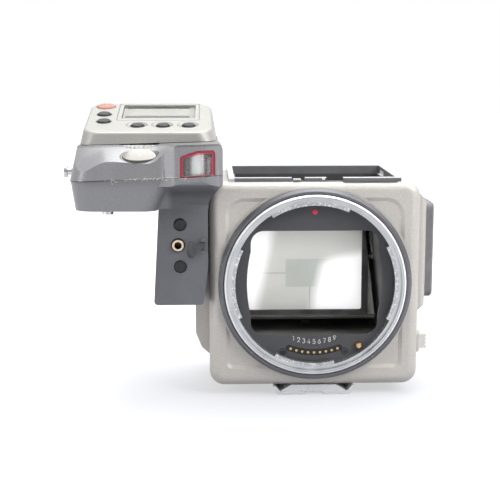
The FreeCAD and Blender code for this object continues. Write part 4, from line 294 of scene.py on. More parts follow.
def radius_from(tree, u, v, centre=(0.0, 0.0), half=(1.0, 1.0)):
    """sqrt(((u-cu)/hu)^2 + ((v-cv)/hv)^2): millimetres from a centre, or 1 on the oval of the half widths."""
    squares = []
    for value, middle, size in zip((u, v), centre, half):
        off = add(tree, "Math", value, 1.0 / size, -middle / size, operation="MULTIPLY_ADD")
        squares.append(add(tree, "Math", off, off, operation="MULTIPLY"))
    return add(tree, "Math", add(tree, "Math", *squares, operation="ADD"), operation="SQRT")


def near_line(tree, value, at, width):
    """1 within half a width of a place, 0 outside."""
    return add(tree, "Math", value, at, width / 2, operation="COMPARE")


def round_line(tree, u, v, centre, radius, width):
    """1 on a ring of a width about a centre; a radius of 0 makes it a disc."""
    return near_line(tree, radius_from(tree, u, v, centre), radius, width)


def within(tree, value, low, high, soft=0.15):
    """1 between low and high, with soft edges."""
    return both(tree, add(tree, "MapRange", value, low - soft, low + soft),
                add(tree, "MapRange", value, high - soft, high + soft, 1.0, 0.0))


def deck_place(tree, y, z):
    """The way up the slope of the tilted deck, and the height over its plane.

    With b and u the way back and up from the deck's start and t its tilt, these are b cos t + u sin t and
    u cos t - b sin t."""
    cos, sin = math.cos(math.radians(DECK_TILT)), math.sin(math.radians(DECK_TILT))
    back, up = DECK_START
    along = leaning(tree, both(tree, y, cos), z, sin, -back * cos - up * sin)
    over = leaning(tree, both(tree, z, cos), y, -sin, back * sin - up * cos)
    return along, over


def seam_distance(tree, x, z, level, tilt):
    """Height over a seam that rises with X, its level given at the head's middle."""
    slope = math.tan(math.radians(tilt))
    return leaning(tree, z, x, -slope, HEAD_MIDDLE * slope - level)


def unmarked(tree, coords):
    """No marks of its own."""
    return ()


def deck_shade_and_dark_lines(tree, coords):
    """Painted shade in the rings of the keys' dishes; the groove round the display and the slot of the
    cover's side darkened.
    """
    x, y, z = place(tree, coords)
    along, over = deck_place(tree, y, z)
    (left, right), (foot, head) = DISPLAY_GROOVE
    outer = both(tree, within(tree, along, foot, head, 0.05), within(tree, x, left, right, 0.05))
    core = both(tree, within(tree, along, foot + GROOVE_WIDTH, head - GROOVE_WIDTH, 0.05),
                within(tree, x, left + GROOVE_WIDTH, right - GROOVE_WIDTH, 0.05))
    groove = both(tree, add(tree, "Math", outer, core, operation="SUBTRACT"), GROOVE_SHARE)
    rings = [(centre, *ring) for centre in FRONT_KEYS for ring in FRONT_RINGS]
    dishes = [both(tree, round_line(tree, x, along, centre, radius, width), share)
              for centre, radius, width, share in (*rings, *SIDE_RINGS)]
    # Painted shade in the keys' dishes, with the groove round the display darkened.
    on_deck = both(tree, either(tree, groove, *dishes), add(tree, "MapRange", over, -1.6, -1.4))
    slot = both(tree, add(tree, "MapRange", x, -97.3, -97.0, 0.85, 0.0), within(tree, z, 64.6, 68.4),
                add(tree, "MapRange", y, 14.0, 14.3, 1.0, 0.0))
    return ((either(tree, on_deck, slot), linear("6D6C69")),)


def flake_lacquer(name, colour, grain=0.55, spread=0.06, marks=unmarked):
    """Metal-flake lacquer sprayed on a casting: the flakes give the eye a fine light and dark speckle.

    The real flake is about 0.1 mm; it is drawn coarser so that it shows."""
    material, tree, shader, coords = start(name, Metallic=0.25, Roughness=0.42, IOR=1.5, Coat_Weight=0.15,
                                           Coat_Roughness=0.35)
    speck = add(tree, "MapRange", blotches(tree, coords, grain, 1.0), 0.34, 0.66)
    cloud = blotches(tree, coords, 14.0)
    tone = painted(tree, shade(colour, 1.0 - spread), (speck, shade(colour, 1.0 + spread)),
                   (add(tree, "MapRange", cloud, 0.3, 0.7, 0.0, 0.25), shade(colour, 0.93)),
                   *marks(tree, coords))
    lay(tree, shader, tone, add(tree, "MapRange", cloud, 0.3, 0.7, 0.38, 0.5),
        blotches(tree, coords, grain * 1.3, 1.0), 0.012)
    return material


def release_shade_oval(tree, x, y, z):
    """The dark oval of painted shade round the shutter release, drawn on the slope that it sits in."""
    far = radius_from(tree, x, y, RELEASE_AT, RELEASE_HALF)
    ring = both(tree, add(tree, "MapRange", far, 1.07, 1.1), add(tree, "MapRange", far, 1.16, 1.2, 1.0, 0.0))
    inner = add(tree, "MapRange", far, 1.04, 1.06, 1.0, 0.0)
    return both(tree, either(tree, ring, inner), add(tree, "MapRange", z, 50.0, 51.0))


def worn_satin(name, colour, chips_reach):
    """Satin lacquer on moulded ABS: smeared sheen, painted shade at the neck and in a band under the
    shoulder, and pale chips along the edge where the two shells meet, on the front and towards the body,
    where a hand and a bag rub it."""
    material, tree, shader, coords = start(name, Metallic=0.2, Roughness=0.36, IOR=1.5)
    x, y, z = place(tree, coords)
    away = add(tree, "Math", seam_distance(tree, x, z, *SPLIT_SEAM), operation="ABSOLUTE")
    front = add(tree, "MapRange", y, 10.0, 20.0, 1.0, 0.0)

    near = both(tree, add(tree, "MapRange", away, 0.0, chips_reach, 1.0, 0.0),
                add(tree, "MapRange", blotches(tree, coords, 13.0, 1.0), 0.40, 0.60, 0.25, 1.0), 0.26)
    level = add(tree, "Math", blotches(tree, coords, 0.9, 3.0, 0.6), near, operation="ADD")
    chips = both(tree, add(tree, "MapRange", level, 0.765, 0.78),
                 add(tree, "MapRange", x, -90.0, -78.0), front)
    rubbed = both(tree, add(tree, "MapRange", blotches(tree, coords, 1.4), 0.42, 0.54),
                  add(tree, "MapRange", x, -84.0, -76.0), front,
                  add(tree, "MapRange", away, 0.10, 0.28, 0.85, 0.0))
    shut_line = both(tree, add(tree, "MapRange", away, 0.22, 0.38, 0.9, 0.0),
                     add(tree, "MapRange", x, -82.0, -76.0, 1.0, 0.0))
    # Painted shade at the neck under the grip head.
    neck = both(tree, add(tree, "MapRange", x, *NECK_SIDE), add(tree, "MapRange", z, *NECK_TOP, 0.62, 0.0))
    # Painted shade, broken by noise, in a band under the top cover's edge.
    over = seam_distance(tree, x, z, *SHOULDER_SEAM)
    shoulder = both(tree, add(tree, "MapRange", over, -1.0, -0.8, 0.0, 0.8),
                    add(tree, "MapRange", blotches(tree, coords, 0.8), 0.3, 0.7, 0.35, 1.0))

    fine = add(tree, "MapRange", blotches(tree, coords, 0.45, 1.0), 0.35, 0.65)
    smear = blotches(tree, coords, 9.0, 3.0)
    tone = painted(tree, shade(colour, 0.93), (fine, shade(colour, 1.07)),
                   (add(tree, "MapRange", smear, 0.35, 0.75, 0.0, 0.3), shade(colour, 1.16)),
                   (neck, linear("4B4B4F")),
                   (shoulder, linear("5C5B5A")),
                   (shut_line, linear("4C4C50")),
                   (release_shade_oval(tree, x, y, z), linear("4A4A4C")),
                   (rubbed, linear("D9D3BF")),
                   (chips, linear("EAE7DF")))
    lay(tree, shader, tone, add(tree, "MapRange", smear, 0.3, 0.7, 0.28, 0.42), fine, 0.01)
    return material


def moulded(name, colour, rough=0.45, grain=0.35, depth=0.012, ior=1.46, coat=0.0, marks=unmarked):
    """Injection-moulded ABS with a fine spark-eroded texture: a soft sheen with faint wipe marks."""
    material, tree, shader, coords = start(name, Roughness=rough, IOR=ior, Coat_Weight=coat,
                                           Coat_Roughness=0.12)
    smear = blotches(tree, coords, 7.0, 3.0)
    tone = painted(tree, shade(colour, 0.93), (add(tree, "MapRange", smear, 0.3, 0.7), shade(colour, 1.08)),
                   *marks(tree, coords))
    lay(tree, shader, tone, add(tree, "MapRange", smear, 0.3, 0.7, rough - 0.06, rough + 0.08),
        blotches(tree, coords, grain, 1.0), depth)
    return material


def dusty_black(name, colour):
    """Matte black flocking lacquer inside the camera, with the pale dust that gathers on its floor."""
    material, tree, shader, coords = start(name, Roughness=0.75, IOR=1.45)
    specks = blotches(tree, coords, 0.8, 3.0, 0.7)
    floor = add(tree, "MapRange", place(tree, coords)[2], -24.6, -22.0, 0.12, 0.0)
    dust = add(tree, "MapRange", add(tree, "Math", specks, floor, operation="ADD"), 0.62, 0.67, 0.0, 0.6)
    haze = add(tree, "MapRange", blotches(tree, coords, 11.0), 0.35, 0.7)
    tone = painted(tree, shade(colour, 0.85), (haze, shade(colour, 1.25)), (dust, linear("7C7A76")))
    lay(tree, shader, tone, height=specks, depth=0.01)
    return material


def seat_highlight_and_shade(tree, coords):
    """Marks of the finder seat: a painted highlight along the top edge, pale on the left rail, painted shade
    low down at the back.
    """
    x, y, z = place(tree, coords)
    over = leaning(tree, z, y, -SEAT_SLOPE, SEAT_TOP[0] * SEAT_SLOPE - SEAT_TOP[1])
    # Painted highlight along the seat's top edge.
    edge = add(tree, "MapRange", over, 0.0, 0.1, 0.0, 0.55)
    left = both(tree, add(tree, "MapRange", x, -34.3, -34.0, 0.75, 0.0), add(tree, "MapRange", z, 41.0, 42.0))
    clip = both(tree, within(tree, y, 40.0, 50.0), within(tree, z, 42.6, 44.6),
                add(tree, "MapRange", x, 33.0, 33.5, 0.0, 0.9))
    tab = both(tree, within(tree, x, 2.9, 4.1, 0.05), add(tree, "MapRange", z, 44.2, 44.3, 0.0, 0.8),
               add(tree, "MapRange", y, 12.0, 12.2, 1.0, 0.0))
    # Painted shade low on the rear wall.
    low = both(tree, add(tree, "MapRange", y, 50.0, 51.0), add(tree, "MapRange", z, 42.2, 42.8, 0.75, 0.0))
    return (low, linear("33302E")), (either(tree, edge, left, clip, tab), linear("DCDDDD"))


def throat_marks(tree, coords):
    """Marks of the throat plate: a rubbed brown ring with a dark edge at the lock pin, dark screw edges."""
    x, _, z = place(tree, coords)
    screws = [(round_line(tree, x, z, centre, 1.45, 0.3), linear("1E1E20")) for centre in THROAT_SCREWS]
    return ((both(tree, round_line(tree, x, z, LOCK_PIN_AT, 2.1, 0.5), 0.6), linear("6E5A46")),
            (both(tree, round_line(tree, x, z, LOCK_PIN_AT, 1.65, 0.5), 0.9), linear("231F1C")), *screws)


def plated_socket(name):
    """Flash socket: pale plated ring round a dark bore, in a blackened collar."""
    material, tree, shader, coords = start(name, Metallic=0.5, Roughness=0.3)
    x, y, z = place(tree, coords)
    ring = both(tree, round_line(tree, x, z, SYNC_AT, 2.0, 0.9), add(tree, "MapRange", y, 3.0, 3.2, 1.0, 0.0))
    lay(tree, shader, painted(tree, linear("26241F"), (ring, linear("DCC6AE"))))
    return material


def bayonet_steel(name):
    """Turned stainless bayonet: a polished outer bevel painted white as its highlight, a duller face, and
    lugs rubbed by lenses."""
    material, tree, shader, coords = start(name, Metallic=0.85, Roughness=0.3)
    x, _, z = place(tree, coords)
    radius = radius_from(tree, x, z)
    wide = add(tree, "MapRange", blotches(tree, coords, 9.0, 1.0), 0.35, 0.65)
    scuffs = add(tree, "MapRange", blotches(tree, coords, 1.2, 3.0, 0.65), 0.5, 0.64)
    lug = add(tree, "MapRange", radius, LUG_ROOT - 0.1, LUG_ROOT + 0.1, 1.0, 0.0)
    # The outer bevel is painted white as a highlight; further down, its metallic is lowered so that the white
    # shows.
    bevel = add(tree, "MapRange", radius, BEVEL_FOOT + 0.3, BEVEL_FOOT + 0.5)
    tone = painted(tree, linear("B2B3B5"), (wide, linear("C6C7C8")),
                   (both(tree, lug, 0.5), linear("8F9093")),
                   (both(tree, lug, scuffs, 0.8), linear("E8E8E8")),
                   (bevel, linear("FFFFFF")),
                   (both(tree, near_line(tree, radius, BEVEL_FOOT, 0.22), 0.5), linear("77787A")))
    lay(tree, shader, tone, add(tree, "MapRange", wide, 0.0, 1.0, 0.26, 0.36))
    tree.links.new(output(add(tree, "MapRange", bevel, 0.0, 1.0, 0.85, 0.25)), shader.inputs["Metallic"])
    return material


def worn_brass(name):
    """Brass lock pin: a rubbed tan core in a darker rim."""
    material, tree, shader, coords = start(name, Metallic=0.5, Roughness=0.35)
    x, _, z = place(tree, coords)
    core = round_line(tree, x, z, LOCK_PIN_AT, 0.0, 1.6)
    lay(tree, shader, painted(tree, linear("8F7454"), (core, linear("CBB090"))))
    return material


def brushed_metal(name, colour, rough=0.28, stretch=(1.0, 12.0, 12.0), metallic=1.0):
    """Metal brushed along one axis: the eye sees long fine scratches; an even stretch leaves it matte."""
    material, tree, shader, coords = start(name, Metallic=metallic, Roughness=rough)
    scratches = blotches(tree, coords, 3.0, 4.0, 0.6, stretch)
    rub = blotches(tree, coords, 5.0)
    bright = add(tree, "MapRange", scratches, 0.35, 0.65)
    lay(tree, shader, painted(tree, shade(colour, 0.9), (bright, shade(colour, 1.05))),
        add(tree, "MapRange", rub, 0.3, 0.7, rough - 0.08, rough + 0.12), scratches, 0.008)
    return material


def anodised(name, colour, rough, rubs):
    """Anodised aluminium, bead-blasted first: satin, with small bright rubs, more of them for larger rubs."""
    material, tree, shader, coords = start(name, Metallic=0.75, Roughness=rough)
    wide = both(tree, blotches(tree, coords, 15.0, 1.0), rubs)
    level = add(tree, "Math", blotches(tree, coords, 2.2, 4.0, 0.7), wide, operation="ADD")
    tone = painted(tree, colour, (add(tree, "MapRange", level, 0.76, 0.82), linear("D5D4D0")))
    lay(tree, shader, tone, height=blotches(tree, coords, 0.3, 1.0), depth=0.006)
    return material


def plated(name, colour, rough=0.2):
    """Plating on a pressed or cut part: bright metal, rubbed duller in patches."""
    material, tree, shader, coords = start(name, Metallic=1.0, Roughness=rough)
    rub = blotches(tree, coords, 1.0)
    tone = painted(tree, shade(colour, 0.85), (add(tree, "MapRange", rub, 0.3, 0.7), shade(colour, 1.05)))
    lay(tree, shader, tone, add(tree, "MapRange", rub, 0.3, 0.7, rough - 0.05, rough + 0.12))
    return material


def rubber(name, colour):
    """Moulded rubber: matte, slightly bloomed, with a fine leather-like pebble of 0.9 mm cells."""
    material, tree, shader, coords = start(name, Roughness=0.7, IOR=1.5)
    cells = add(tree, "TexVoronoi", {"Vector": coords, "Scale": 1.0 / (0.9 * MM)})
    bloom = add(tree, "MapRange", blotches(tree, coords, 8.0, 3.0), 0.3, 0.7)
    tone = painted(tree, shade(colour, 0.85), (bloom, shade(colour, 1.2)))
    lay(tree, shader, tone, height=cells, depth=0.03)
    return material


def silvered_glass(name):
    """Front-silvered mirror glass: a clean reflection, a few specks of dust."""
    material, tree, shader, coords = start(name, Metallic=1.0, Roughness=0.02)
    specks = blotches(tree, coords, 0.6, 2.0, 0.6)
    dust = add(tree, "MapRange", specks, 0.74, 0.77, 0.0, 0.5)
    lay(tree, shader, painted(tree, linear("F5F5F5"), (dust, linear("A9A8A4"))),
        add(tree, "MapRange", specks, 0.7, 0.76, 0.02, 0.35))
    return material


def ground_screen(name):
    """Ground glass of the finder, lit from above and seen from below in the mirror: it passes light evenly,
    is painted brighter at the two slanting sides where the open bay lets the room's light straight in, and
    carries a metering rectangle and thin lines."""
    material, tree, shader, coords = start(name)
    x, y, _ = place(tree, coords)
    spot = both(tree, within(tree, x, *METERING[0]), within(tree, y, *METERING[1]))
    outside = add(tree, "Math", 1.0, spot, operation="SUBTRACT")
    line = both(tree, near_line(tree, y, SCREEN_LINE_Y, SCREEN_LINE_WIDTH), outside)
    stem = both(tree, near_line(tree, x, SCREEN_STEM_X, SCREEN_LINE_WIDTH),
                add(tree, "MapRange", y, METERING[1][0] - 0.1, METERING[1][0] + 0.1, 1.0, 0.0))
    # Painted light on the two slanting sides, where the open bay lets the room's light in.
    right = both(tree, add(tree, "MapRange", leaning(tree, x, y, -0.22, 5.5), 4.0, 9.5),
                 add(tree, "MapRange", leaning(tree, y, x, -0.22), 32.0, 36.5, 1.0, 0.0))
    left = add(tree, "MapRange", leaning(tree, x, y, -0.2, 7.2), -20.0, -15.0, 1.0, 0.0)
    haze = add(tree, "MapRange", blotches(tree, coords, 12.0), 0.3, 0.7, 0.96, 1.0)
    tone = painted(tree, linear("D4D4D2"), (haze, linear("DCDCDA")),
                   (both(tree, spot, 0.5), linear("BFC4BF")),
                   (both(tree, either(tree, line, stem), 0.55), linear("70756F")),
                   (either(tree, right, left), linear("FFFFFF")))
    through = add(tree, "BsdfTranslucent", {"Color": tone})
    face = add(tree, "BsdfDiffuse", {"Color": tone})
    surface_in = shader.outputs[0].links[0].to_socket
    tree.nodes.remove(shader)
    tree.links.new(output(add(tree, "MixShader", 0.25, through, face)), surface_in)
    return material


def lamp_plastic(name, colour):
    """Acrylic lamp window: clear and faintly rose in the middle, printed deep rose round its border."""
    material, tree, shader, coords = start(name, Roughness=0.05, IOR=1.49)
    x, _, z = place(tree, coords)
    left, right = LAMP_SIDES
    drop = add(tree, "MapRange", x, left - 1.3, right - 5.4, -2.5, 0.0)
    top = add(tree, "Math", z, drop, operation="SUBTRACT")
    over = add(tree, "MapRange", seam_distance(tree, x, z, *SPLIT_SEAM), 0.35, 0.5)
    inside = both(tree, within(tree, x, left, right, 0.08), within(tree, top, 30.0, LAMP_TOP, 0.08), over)
    core = both(tree, within(tree, x, left + 0.6, right - 0.7, 0.06),
                within(tree, top, 30.0, LAMP_TOP - 0.6, 0.06))
    rim = both(tree, add(tree, "Math", inside, core, operation="SUBTRACT"), 0.75)
    lay(tree, shader, painted(tree, colour, (inside, linear("F4F8F7")), (rim, linear("E58C9C"))))
    clear = add(tree, "MapRange", inside, 0.0, 1.0, 0.1, 0.96)
    tree.links.new(output(clear), shader.inputs["Transmission Weight"])
    return material


def mottled_reflector(name):
    """Vacuum metallised sheet behind the lamp window: a painted highlight down the middle, darker and mottled
    beside."""
    material, tree, shader, coords = start(name, Metallic=0.55, Roughness=0.25)
    off = add(tree, "Math", place(tree, coords)[0], LAMP_MIDDLE, operation="SUBTRACT")
    # Painted highlight down the middle of the bent sheet.
    middle = add(tree, "MapRange", add(tree, "Math", off, operation="ABSOLUTE"), 1.0, 3.4, 1.0, 0.0)
    mottle = add(tree, "MapRange", blotches(tree, coords, 0.8, 3.0, 0.7), 0.4, 0.62)
    lay(tree, shader, painted(tree, linear("5B5558"), (mottle, linear("B9B2B6")), (middle, linear("FFFDFD"))))
    return material


def clear_acrylic(name, colour):
    """Clear moulded acrylic: passes nearly everything, with a faint haze in patches."""
    material, tree, shader, coords = start(name, Roughness=0.03, IOR=1.49, Transmission_Weight=1.0)
    haze = add(tree, "MapRange", blotches(tree, coords, 4.0), 0.3, 0.7)
    lay(tree, shader, painted(tree, shade(colour, 0.96), (haze, colour)))
    return material


def display_glass(name):
    """Reflective display behind its window: pale green grey with the faint grid of its unlit 2.4 mm cells,
    painted shade towards its bottom, and painted shadows of the window's edges across its top and bottom.
    """
    material, tree, shader, coords = start(name, Roughness=0.25, IOR=1.5)
    cells = add(tree, "TexBrick", {"Vector": coords, "Scale": 1.0 / (2.4 * MM), "Mortar Size": 0.06,
                                   "Color1": linear("D6D5D1"), "Color2": linear("D3D2CE"),
                                   "Mortar": linear("CFCECA")}, offset=0.0)
    x, y, z = place(tree, coords)
    along = deck_place(tree, y, z)[0]
    # Painted shadows of the window's top and bottom edges.
    edge_shadows = both(tree, either(tree, *(within(tree, along, *bar) for bar in DISPLAY_SHADOW_BANDS)),
                within(tree, x, *DISPLAY_SIDES, 0.3), 0.8)
    shadow = add(tree, "MapRange", along, 27.0, 31.0, 0.6, 0.0)
    lay(tree, shader, painted(tree, cells, (shadow, linear("BFC3C8")), (edge_shadows, linear("4A4644"))))
    return material


def painted_mark(name, colour):
    """Paint filled into a mark, a little worn."""
    material, tree, shader, coords = start(name, Roughness=0.4)
    wear = add(tree, "MapRange", blotches(tree, coords, 0.4), 0.3, 0.7)
    lay(tree, shader, painted(tree, shade(colour, 0.9), (wear, colour)))
    return material


def fibreglass_board(name):
    """Etched circuit board under green solder mask, its tracks showing as paler lines."""
    material, tree, shader, coords = start(name, Roughness=0.35, IOR=1.5)
    waves = add(tree, "TexWave", {"Vector": coords, "Scale": 0.35 / MM, "Distortion": 2.0},
                bands_direction="Z")
    tracks = add(tree, "MapRange", waves.outputs["Fac"], 0.55, 0.65)
    lay(tree, shader, painted(tree, linear("1E5A38"), (tracks, linear("2F7A4A"))))
    return material


FINISH = {}


def finishes():
    """Makes every material once and returns them by name."""
    if FINISH:
        return FINISH
    covers, parts = bpy.context.scene.cover_colours, bpy.context.scene.part_colours
    even = (1.0, 1.0, 1.0)
    FINISH.update(
        housing=flake_lacquer("Flake lacquer on cast aluminium", covers.lacquer),
        top=flake_lacquer("Flake lacquer on moulded top cover", covers.top_lacquer, 0.5, 0.05, deck_shade_and_dark_lines),
        upper=worn_satin("Satin lacquer on ABS upper shell", covers.upper_shell, 0.8),
        lower=worn_satin("Satin lacquer on ABS lower shell", covers.lower_shell, 2.6),
        back=moulded("Satin lacquer on ABS back", covers.lower_shell, rough=0.4),
        column=moulded("Spark eroded ABS column", covers.column, rough=0.42),
        rubber=rubber("Moulded rubber", covers.rubber),
        ring=anodised("Anodised aluminium ring", parts.ring, rough=0.38, rubs=0.16),
        flange=bayonet_steel("Turned stainless bayonet"),
        pin=worn_brass("Worn brass lock pin"),
        wheel=brushed_metal("Nickel plated wheel", linear("F4F4F2"), 0.35, even, metallic=0.3),
        black_steel=brushed_metal("Blackened steel screw", linear("4A4B4D"), 0.4, even, metallic=0.7),
        throat=moulded("Matte phenolic throat plate", parts.throat, 0.6, 0.4, 0.02, marks=throat_marks),
        inside=dusty_black("Flocking lacquer inside", linear("6C6C69")),
        frame=moulded("Black anodised frame", linear("67686A"), 0.42, 0.5, 0.01),
        seat=moulded("Black cast finder seat", linear("67686A"), 0.42, 0.5, 0.01, marks=seat_highlight_and_shade),
        socket=plated_socket("Plated flash socket"),
        cap=rubber("Moulded cap rubber", linear("434447")),
        mirror=silvered_glass("Front silvered glass"),
        screen=ground_screen("Ground glass screen"),
        gold=plated("Gold plated contact", parts.gold),
        steel=brushed_metal("Nickel plated steel", linear("BDBDBD")),
        foot=brushed_metal("Polished aluminium extrusion", linear("DEDFE1"), 0.32, (12.0, 1.0, 12.0), 0.35),
        key=moulded("Moulded black key", parts.key_black, 0.3, 0.3, 0.006, ior=1.36),
        key_red=moulded("Moulded red key", parts.key_red, 0.3, 0.3, 0.006, ior=1.36),
        release=moulded("Moulded pale release", parts.release, 0.25, 0.4, 0.004, ior=1.5, coat=0.5),
        knob=moulded("Moulded grey lens release", linear("E2E1DD"), rough=0.4),
        lamp=lamp_plastic("Printed acrylic lamp window", parts.lamp),
        reflector=mottled_reflector("Vacuum metallised reflector"),
        window=clear_acrylic("Clear acrylic display window", linear("E8EAE6")),
        display=display_glass("Reflective display"),
        board=fibreglass_board("Circuit board"),
        brass=plated("Hobbed brass gear", linear("C39A55"), rough=0.3),
        red_mark=painted_mark("Red paint fill", parts.index),
        white_mark=painted_mark("White paint fill", linear("D8D8D6")),
        leaf=anodised("Black anodised leaf", linear("242425"), rough=0.55, rubs=0.12),
    )
    return FINISH


def dress(name, *nodes):
    """Gives the named material to CAD nodes."""
    material = finishes()[name]
    for node in nodes:
        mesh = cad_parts[node].data
        if not mesh.materials:
            mesh.materials.append(material)
        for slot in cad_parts[node].material_slots:
            slot.material = material


def surface(points, wrap_u=False, wrap_v=False):
    """Quads over a grid of points [u, v, 3]; a wrapped side joins its last row to its first."""
    nu, nv = points.shape[:2]
    iu = np.arange(nu if wrap_u else nu - 1)
    iv = np.arange(nv if wrap_v else nv - 1)
    a, b = np.meshgrid(iu, iv, indexing="ij")
    a2, b2 = (a + 1) % nu, (b + 1) % nv
    quads = np.stack([a * nv + b, a2 * nv + b, a2 * nv + b2, a * nv + b2], -1).reshape(-1, 4)
    return points.reshape(-1, 3), quads


def gather(parts):
    """Joins several (points, quads) surfaces into one."""
    base = np.cumsum([0] + [len(p) for p, _ in parts[:-1]])
    return np.concatenate([p for p, _ in parts]), np.concatenate([q + b for (_, q), b in zip(parts, base)])


def piece(name, form, material):
    """Object from a surface, merged at its poles and seams, faces outward, riding on the camera's body."""
    points, quads = form
    mesh = bpy.data.meshes.new(name)
    mesh.from_pydata(points.tolist(), [], quads.tolist())
    build = bmesh.new()
    build.from_mesh(mesh)
    bmesh.ops.remove_doubles(build, verts=build.verts, dist=1e-7)
    bmesh.ops.dissolve_degenerate(build, edges=build.edges, dist=1e-7)
    bmesh.ops.recalc_face_normals(build, faces=build.faces)
    build.to_mesh(mesh)
    build.free()
    mesh.materials.append(finishes()[material])
    mesh.shade_smooth()
    mesh.set_sharp_from_angle(angle=SHARP_ANGLE)
    thing = bpy.data.objects.new(name, mesh)
    bpy.context.scene.collection.objects.link(thing)
    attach(thing, ROOT)


def turned(profile, centre, steps):
    """Profile of (radius r, depth h) turned about a line along Y: (r cos t, h, r sin t) from a centre."""
    r, h = np.asarray(profile, float).T[:, None, :]
    t = np.linspace(0, 2 * np.pi, steps, endpoint=False)[:, None]
    points = (np.stack([r * np.cos(t), h + 0 * t, r * np.sin(t)], -1) + np.asarray(centre, float)) * MM
    return surface(points, wrap_u=True)


def stroke(path, width, front, back):
    """Bar of even width along a path in X and Z, between two depths in Y: four corners are carried along the
    path's mitred normals, half a width to each side, and both ends are closed."""
    path = np.asarray(path, float)
    ahead = np.diff(path, axis=0)
    ahead /= np.linalg.norm(ahead, axis=1)[:, None]
    mean = np.vstack([ahead[:1], ahead[:-1] + ahead[1:], ahead[-1:]])
    mean /= np.linalg.norm(mean, axis=1)[:, None]
    across = np.stack([-mean[:, 1], mean[:, 0]], -1) * width / 2
    ring = [(path + across, front), (path - across, front), (path - across, back), (path + across, back)]
    grid = np.stack([np.insert(line, 1, depth, axis=1) for line, depth in ring], 1) * MM
    points, quads = surface(grid, wrap_v=True)
    last = (len(path) - 1) * 4
    return points, np.vstack([quads, [[0, 1, 2, 3], [last + 3, last + 2, last + 1, last]]])


def bow(centre, radii, start_deg, end_deg, count=14):
    """Points of an elliptic arc, angles counted from the right, anticlockwise."""
    t = np.radians(np.linspace(start_deg, end_deg, count))
    return [(centre[0] + radii[0] * math.cos(a), centre[1] + radii[1] * math.sin(a)) for a in t]


def figure_paths(figure):
    """Strokes of a figure in a box 0.6 wide and 1 high."""
    low, high = (0.3, 0.29), (0.3, 0.74)
    shapes = {
        1: [[(0.12, 0.8), (0.34, 1.0), (0.34, 0.0)]],
        2: [bow((0.3, 0.71), (0.27, 0.27), 165, -35) + [(0.05, 0.02), (0.58, 0.02)]],
        3: [bow(high, (0.24, 0.24), 150, -80), bow(low, (0.28, 0.28), 85, -150)],
        4: [[(0.42, 0.0), (0.42, 1.0), (0.02, 0.28), (0.6, 0.28)]],
        5: [[(0.54, 0.98), (0.12, 0.98), (0.08, 0.56)] + bow((0.28, 0.31), (0.29, 0.31), 125, -145)],
        6: [[(0.46, 1.0)] + bow((0.3, 0.3), (0.28, 0.3), 150, 180, 4),
            bow((0.3, 0.3), (0.28, 0.3), 0, 360, 24)],
        7: [[(0.02, 0.98), (0.58, 0.98), (0.22, 0.0)]],
        8: [bow(high, (0.22, 0.24), 0, 360, 24), bow((0.3, 0.26), (0.27, 0.26), 0, 360, 24)],
        9: [[(0.14, 0.0)] + bow((0.3, 0.7), (0.28, 0.3), -30, 0, 4),
            bow((0.3, 0.7), (0.28, 0.3), 0, 360, 24)],
    }
    return shapes[figure]


def contact_figures(height):
    """Plain numbers for the lens contacts, each upright above its pin on an arc about the lens axis."""
    parts = []
    for i in range(CONTACTS):
        turn = math.radians(CONTACT_PITCH * (i - (CONTACTS - 1) / 2))
        x, z = FIGURE_ARC * math.sin(turn), -FIGURE_ARC * math.cos(turn)
        for path in figure_paths(i + 1):
            flat = [(x + (u - 0.3) * height, z + v * height) for u, v in path]
            parts.append(stroke(flat, STROKE_WIDTH, *STROKE_DEPTHS))
    return gather(parts)


def index_dot(radius, steps):
    """Paint dot on the throat plate: a quarter ellipse, radius sin a wide and 0.3 cos a proud, turned about
    its middle and closed behind."""
    front, back = MARK_SINK
    dome = [(radius * math.sin(a), front - 0.3 * math.cos(a)) for a in np.linspace(0, math.pi / 2, 9)]
    return turned(dome + [(radius, back), (0, back)], (0, 0, INDEX_HEIGHT), steps)


def reflector_sheet():
    """Sheet bent behind the lamp window: (r sin t, -d r cos t, z) from its middle, for its two radii r, its
    two levels z and the depth share d, with both ends closed."""
    (outer, inner), (low, high) = SHEET_RADII, SHEET_LEVELS
    t = np.linspace(-SHEET_HALF_TURN, SHEET_HALF_TURN, SHEET_STEPS)[:, None]
    r, z = np.array([(outer, low), (outer, high), (inner, high), (inner, low)]).T[:, None, :]
    depth = SHEET_BACK - r * np.cos(t) * SHEET_DEPTH_SHARE
    points, quads = surface(np.stack([LAMP_MIDDLE + r * np.sin(t), depth, z + 0 * t], -1) * MM, wrap_v=True)
    last = len(points) - 4
    return points, np.vstack([quads, [[3, 2, 1, 0], [last, last + 1, last + 2, last + 3]]])


class CAMERA_BODY_OT_covers(Operator):
    """Finish the cast housing, its side covers and the top cover"""
    bl_idname = "camera_body.covers"
    bl_label = "Housing covers"

    def execute(self, context):
        dress("housing", "front_cover", "main_shell", "side_cover", "grip_side_cover")
        dress("top", "grip_top_cover")
        dress("rubber", "side_pad")
        return {"FINISHED"}


class CAMERA_BODY_OT_lens_mount(Operator):
    """Finish the ring, bayonet, throat plate, pins and lock, and add the index mark and contact figures"""
    bl_idname = "camera_body.lens_mount"
    bl_label = "Lens mount"

    def execute(self, context):
        sizes = context.scene.fine_sizes
        dress("ring", "mount_surround_ring")
        dress("flange", "bayonet_flange")
        dress("throat", "throat_plate")
        dress("key", "lens_contact_block")
        dress("gold", "lens_contact_pins")
        dress("pin", "lens_lock_pin")
        dress("black_steel", "fixing_screws")
        dress("knob", "lens_release_button")
        piece("index_mark", index_dot(sizes.index_radius / MM, sizes.round_steps), "red_mark")
        piece("contact_figures", contact_figures(sizes.figure_height / MM), "white_mark")
        return {"FINISHED"}


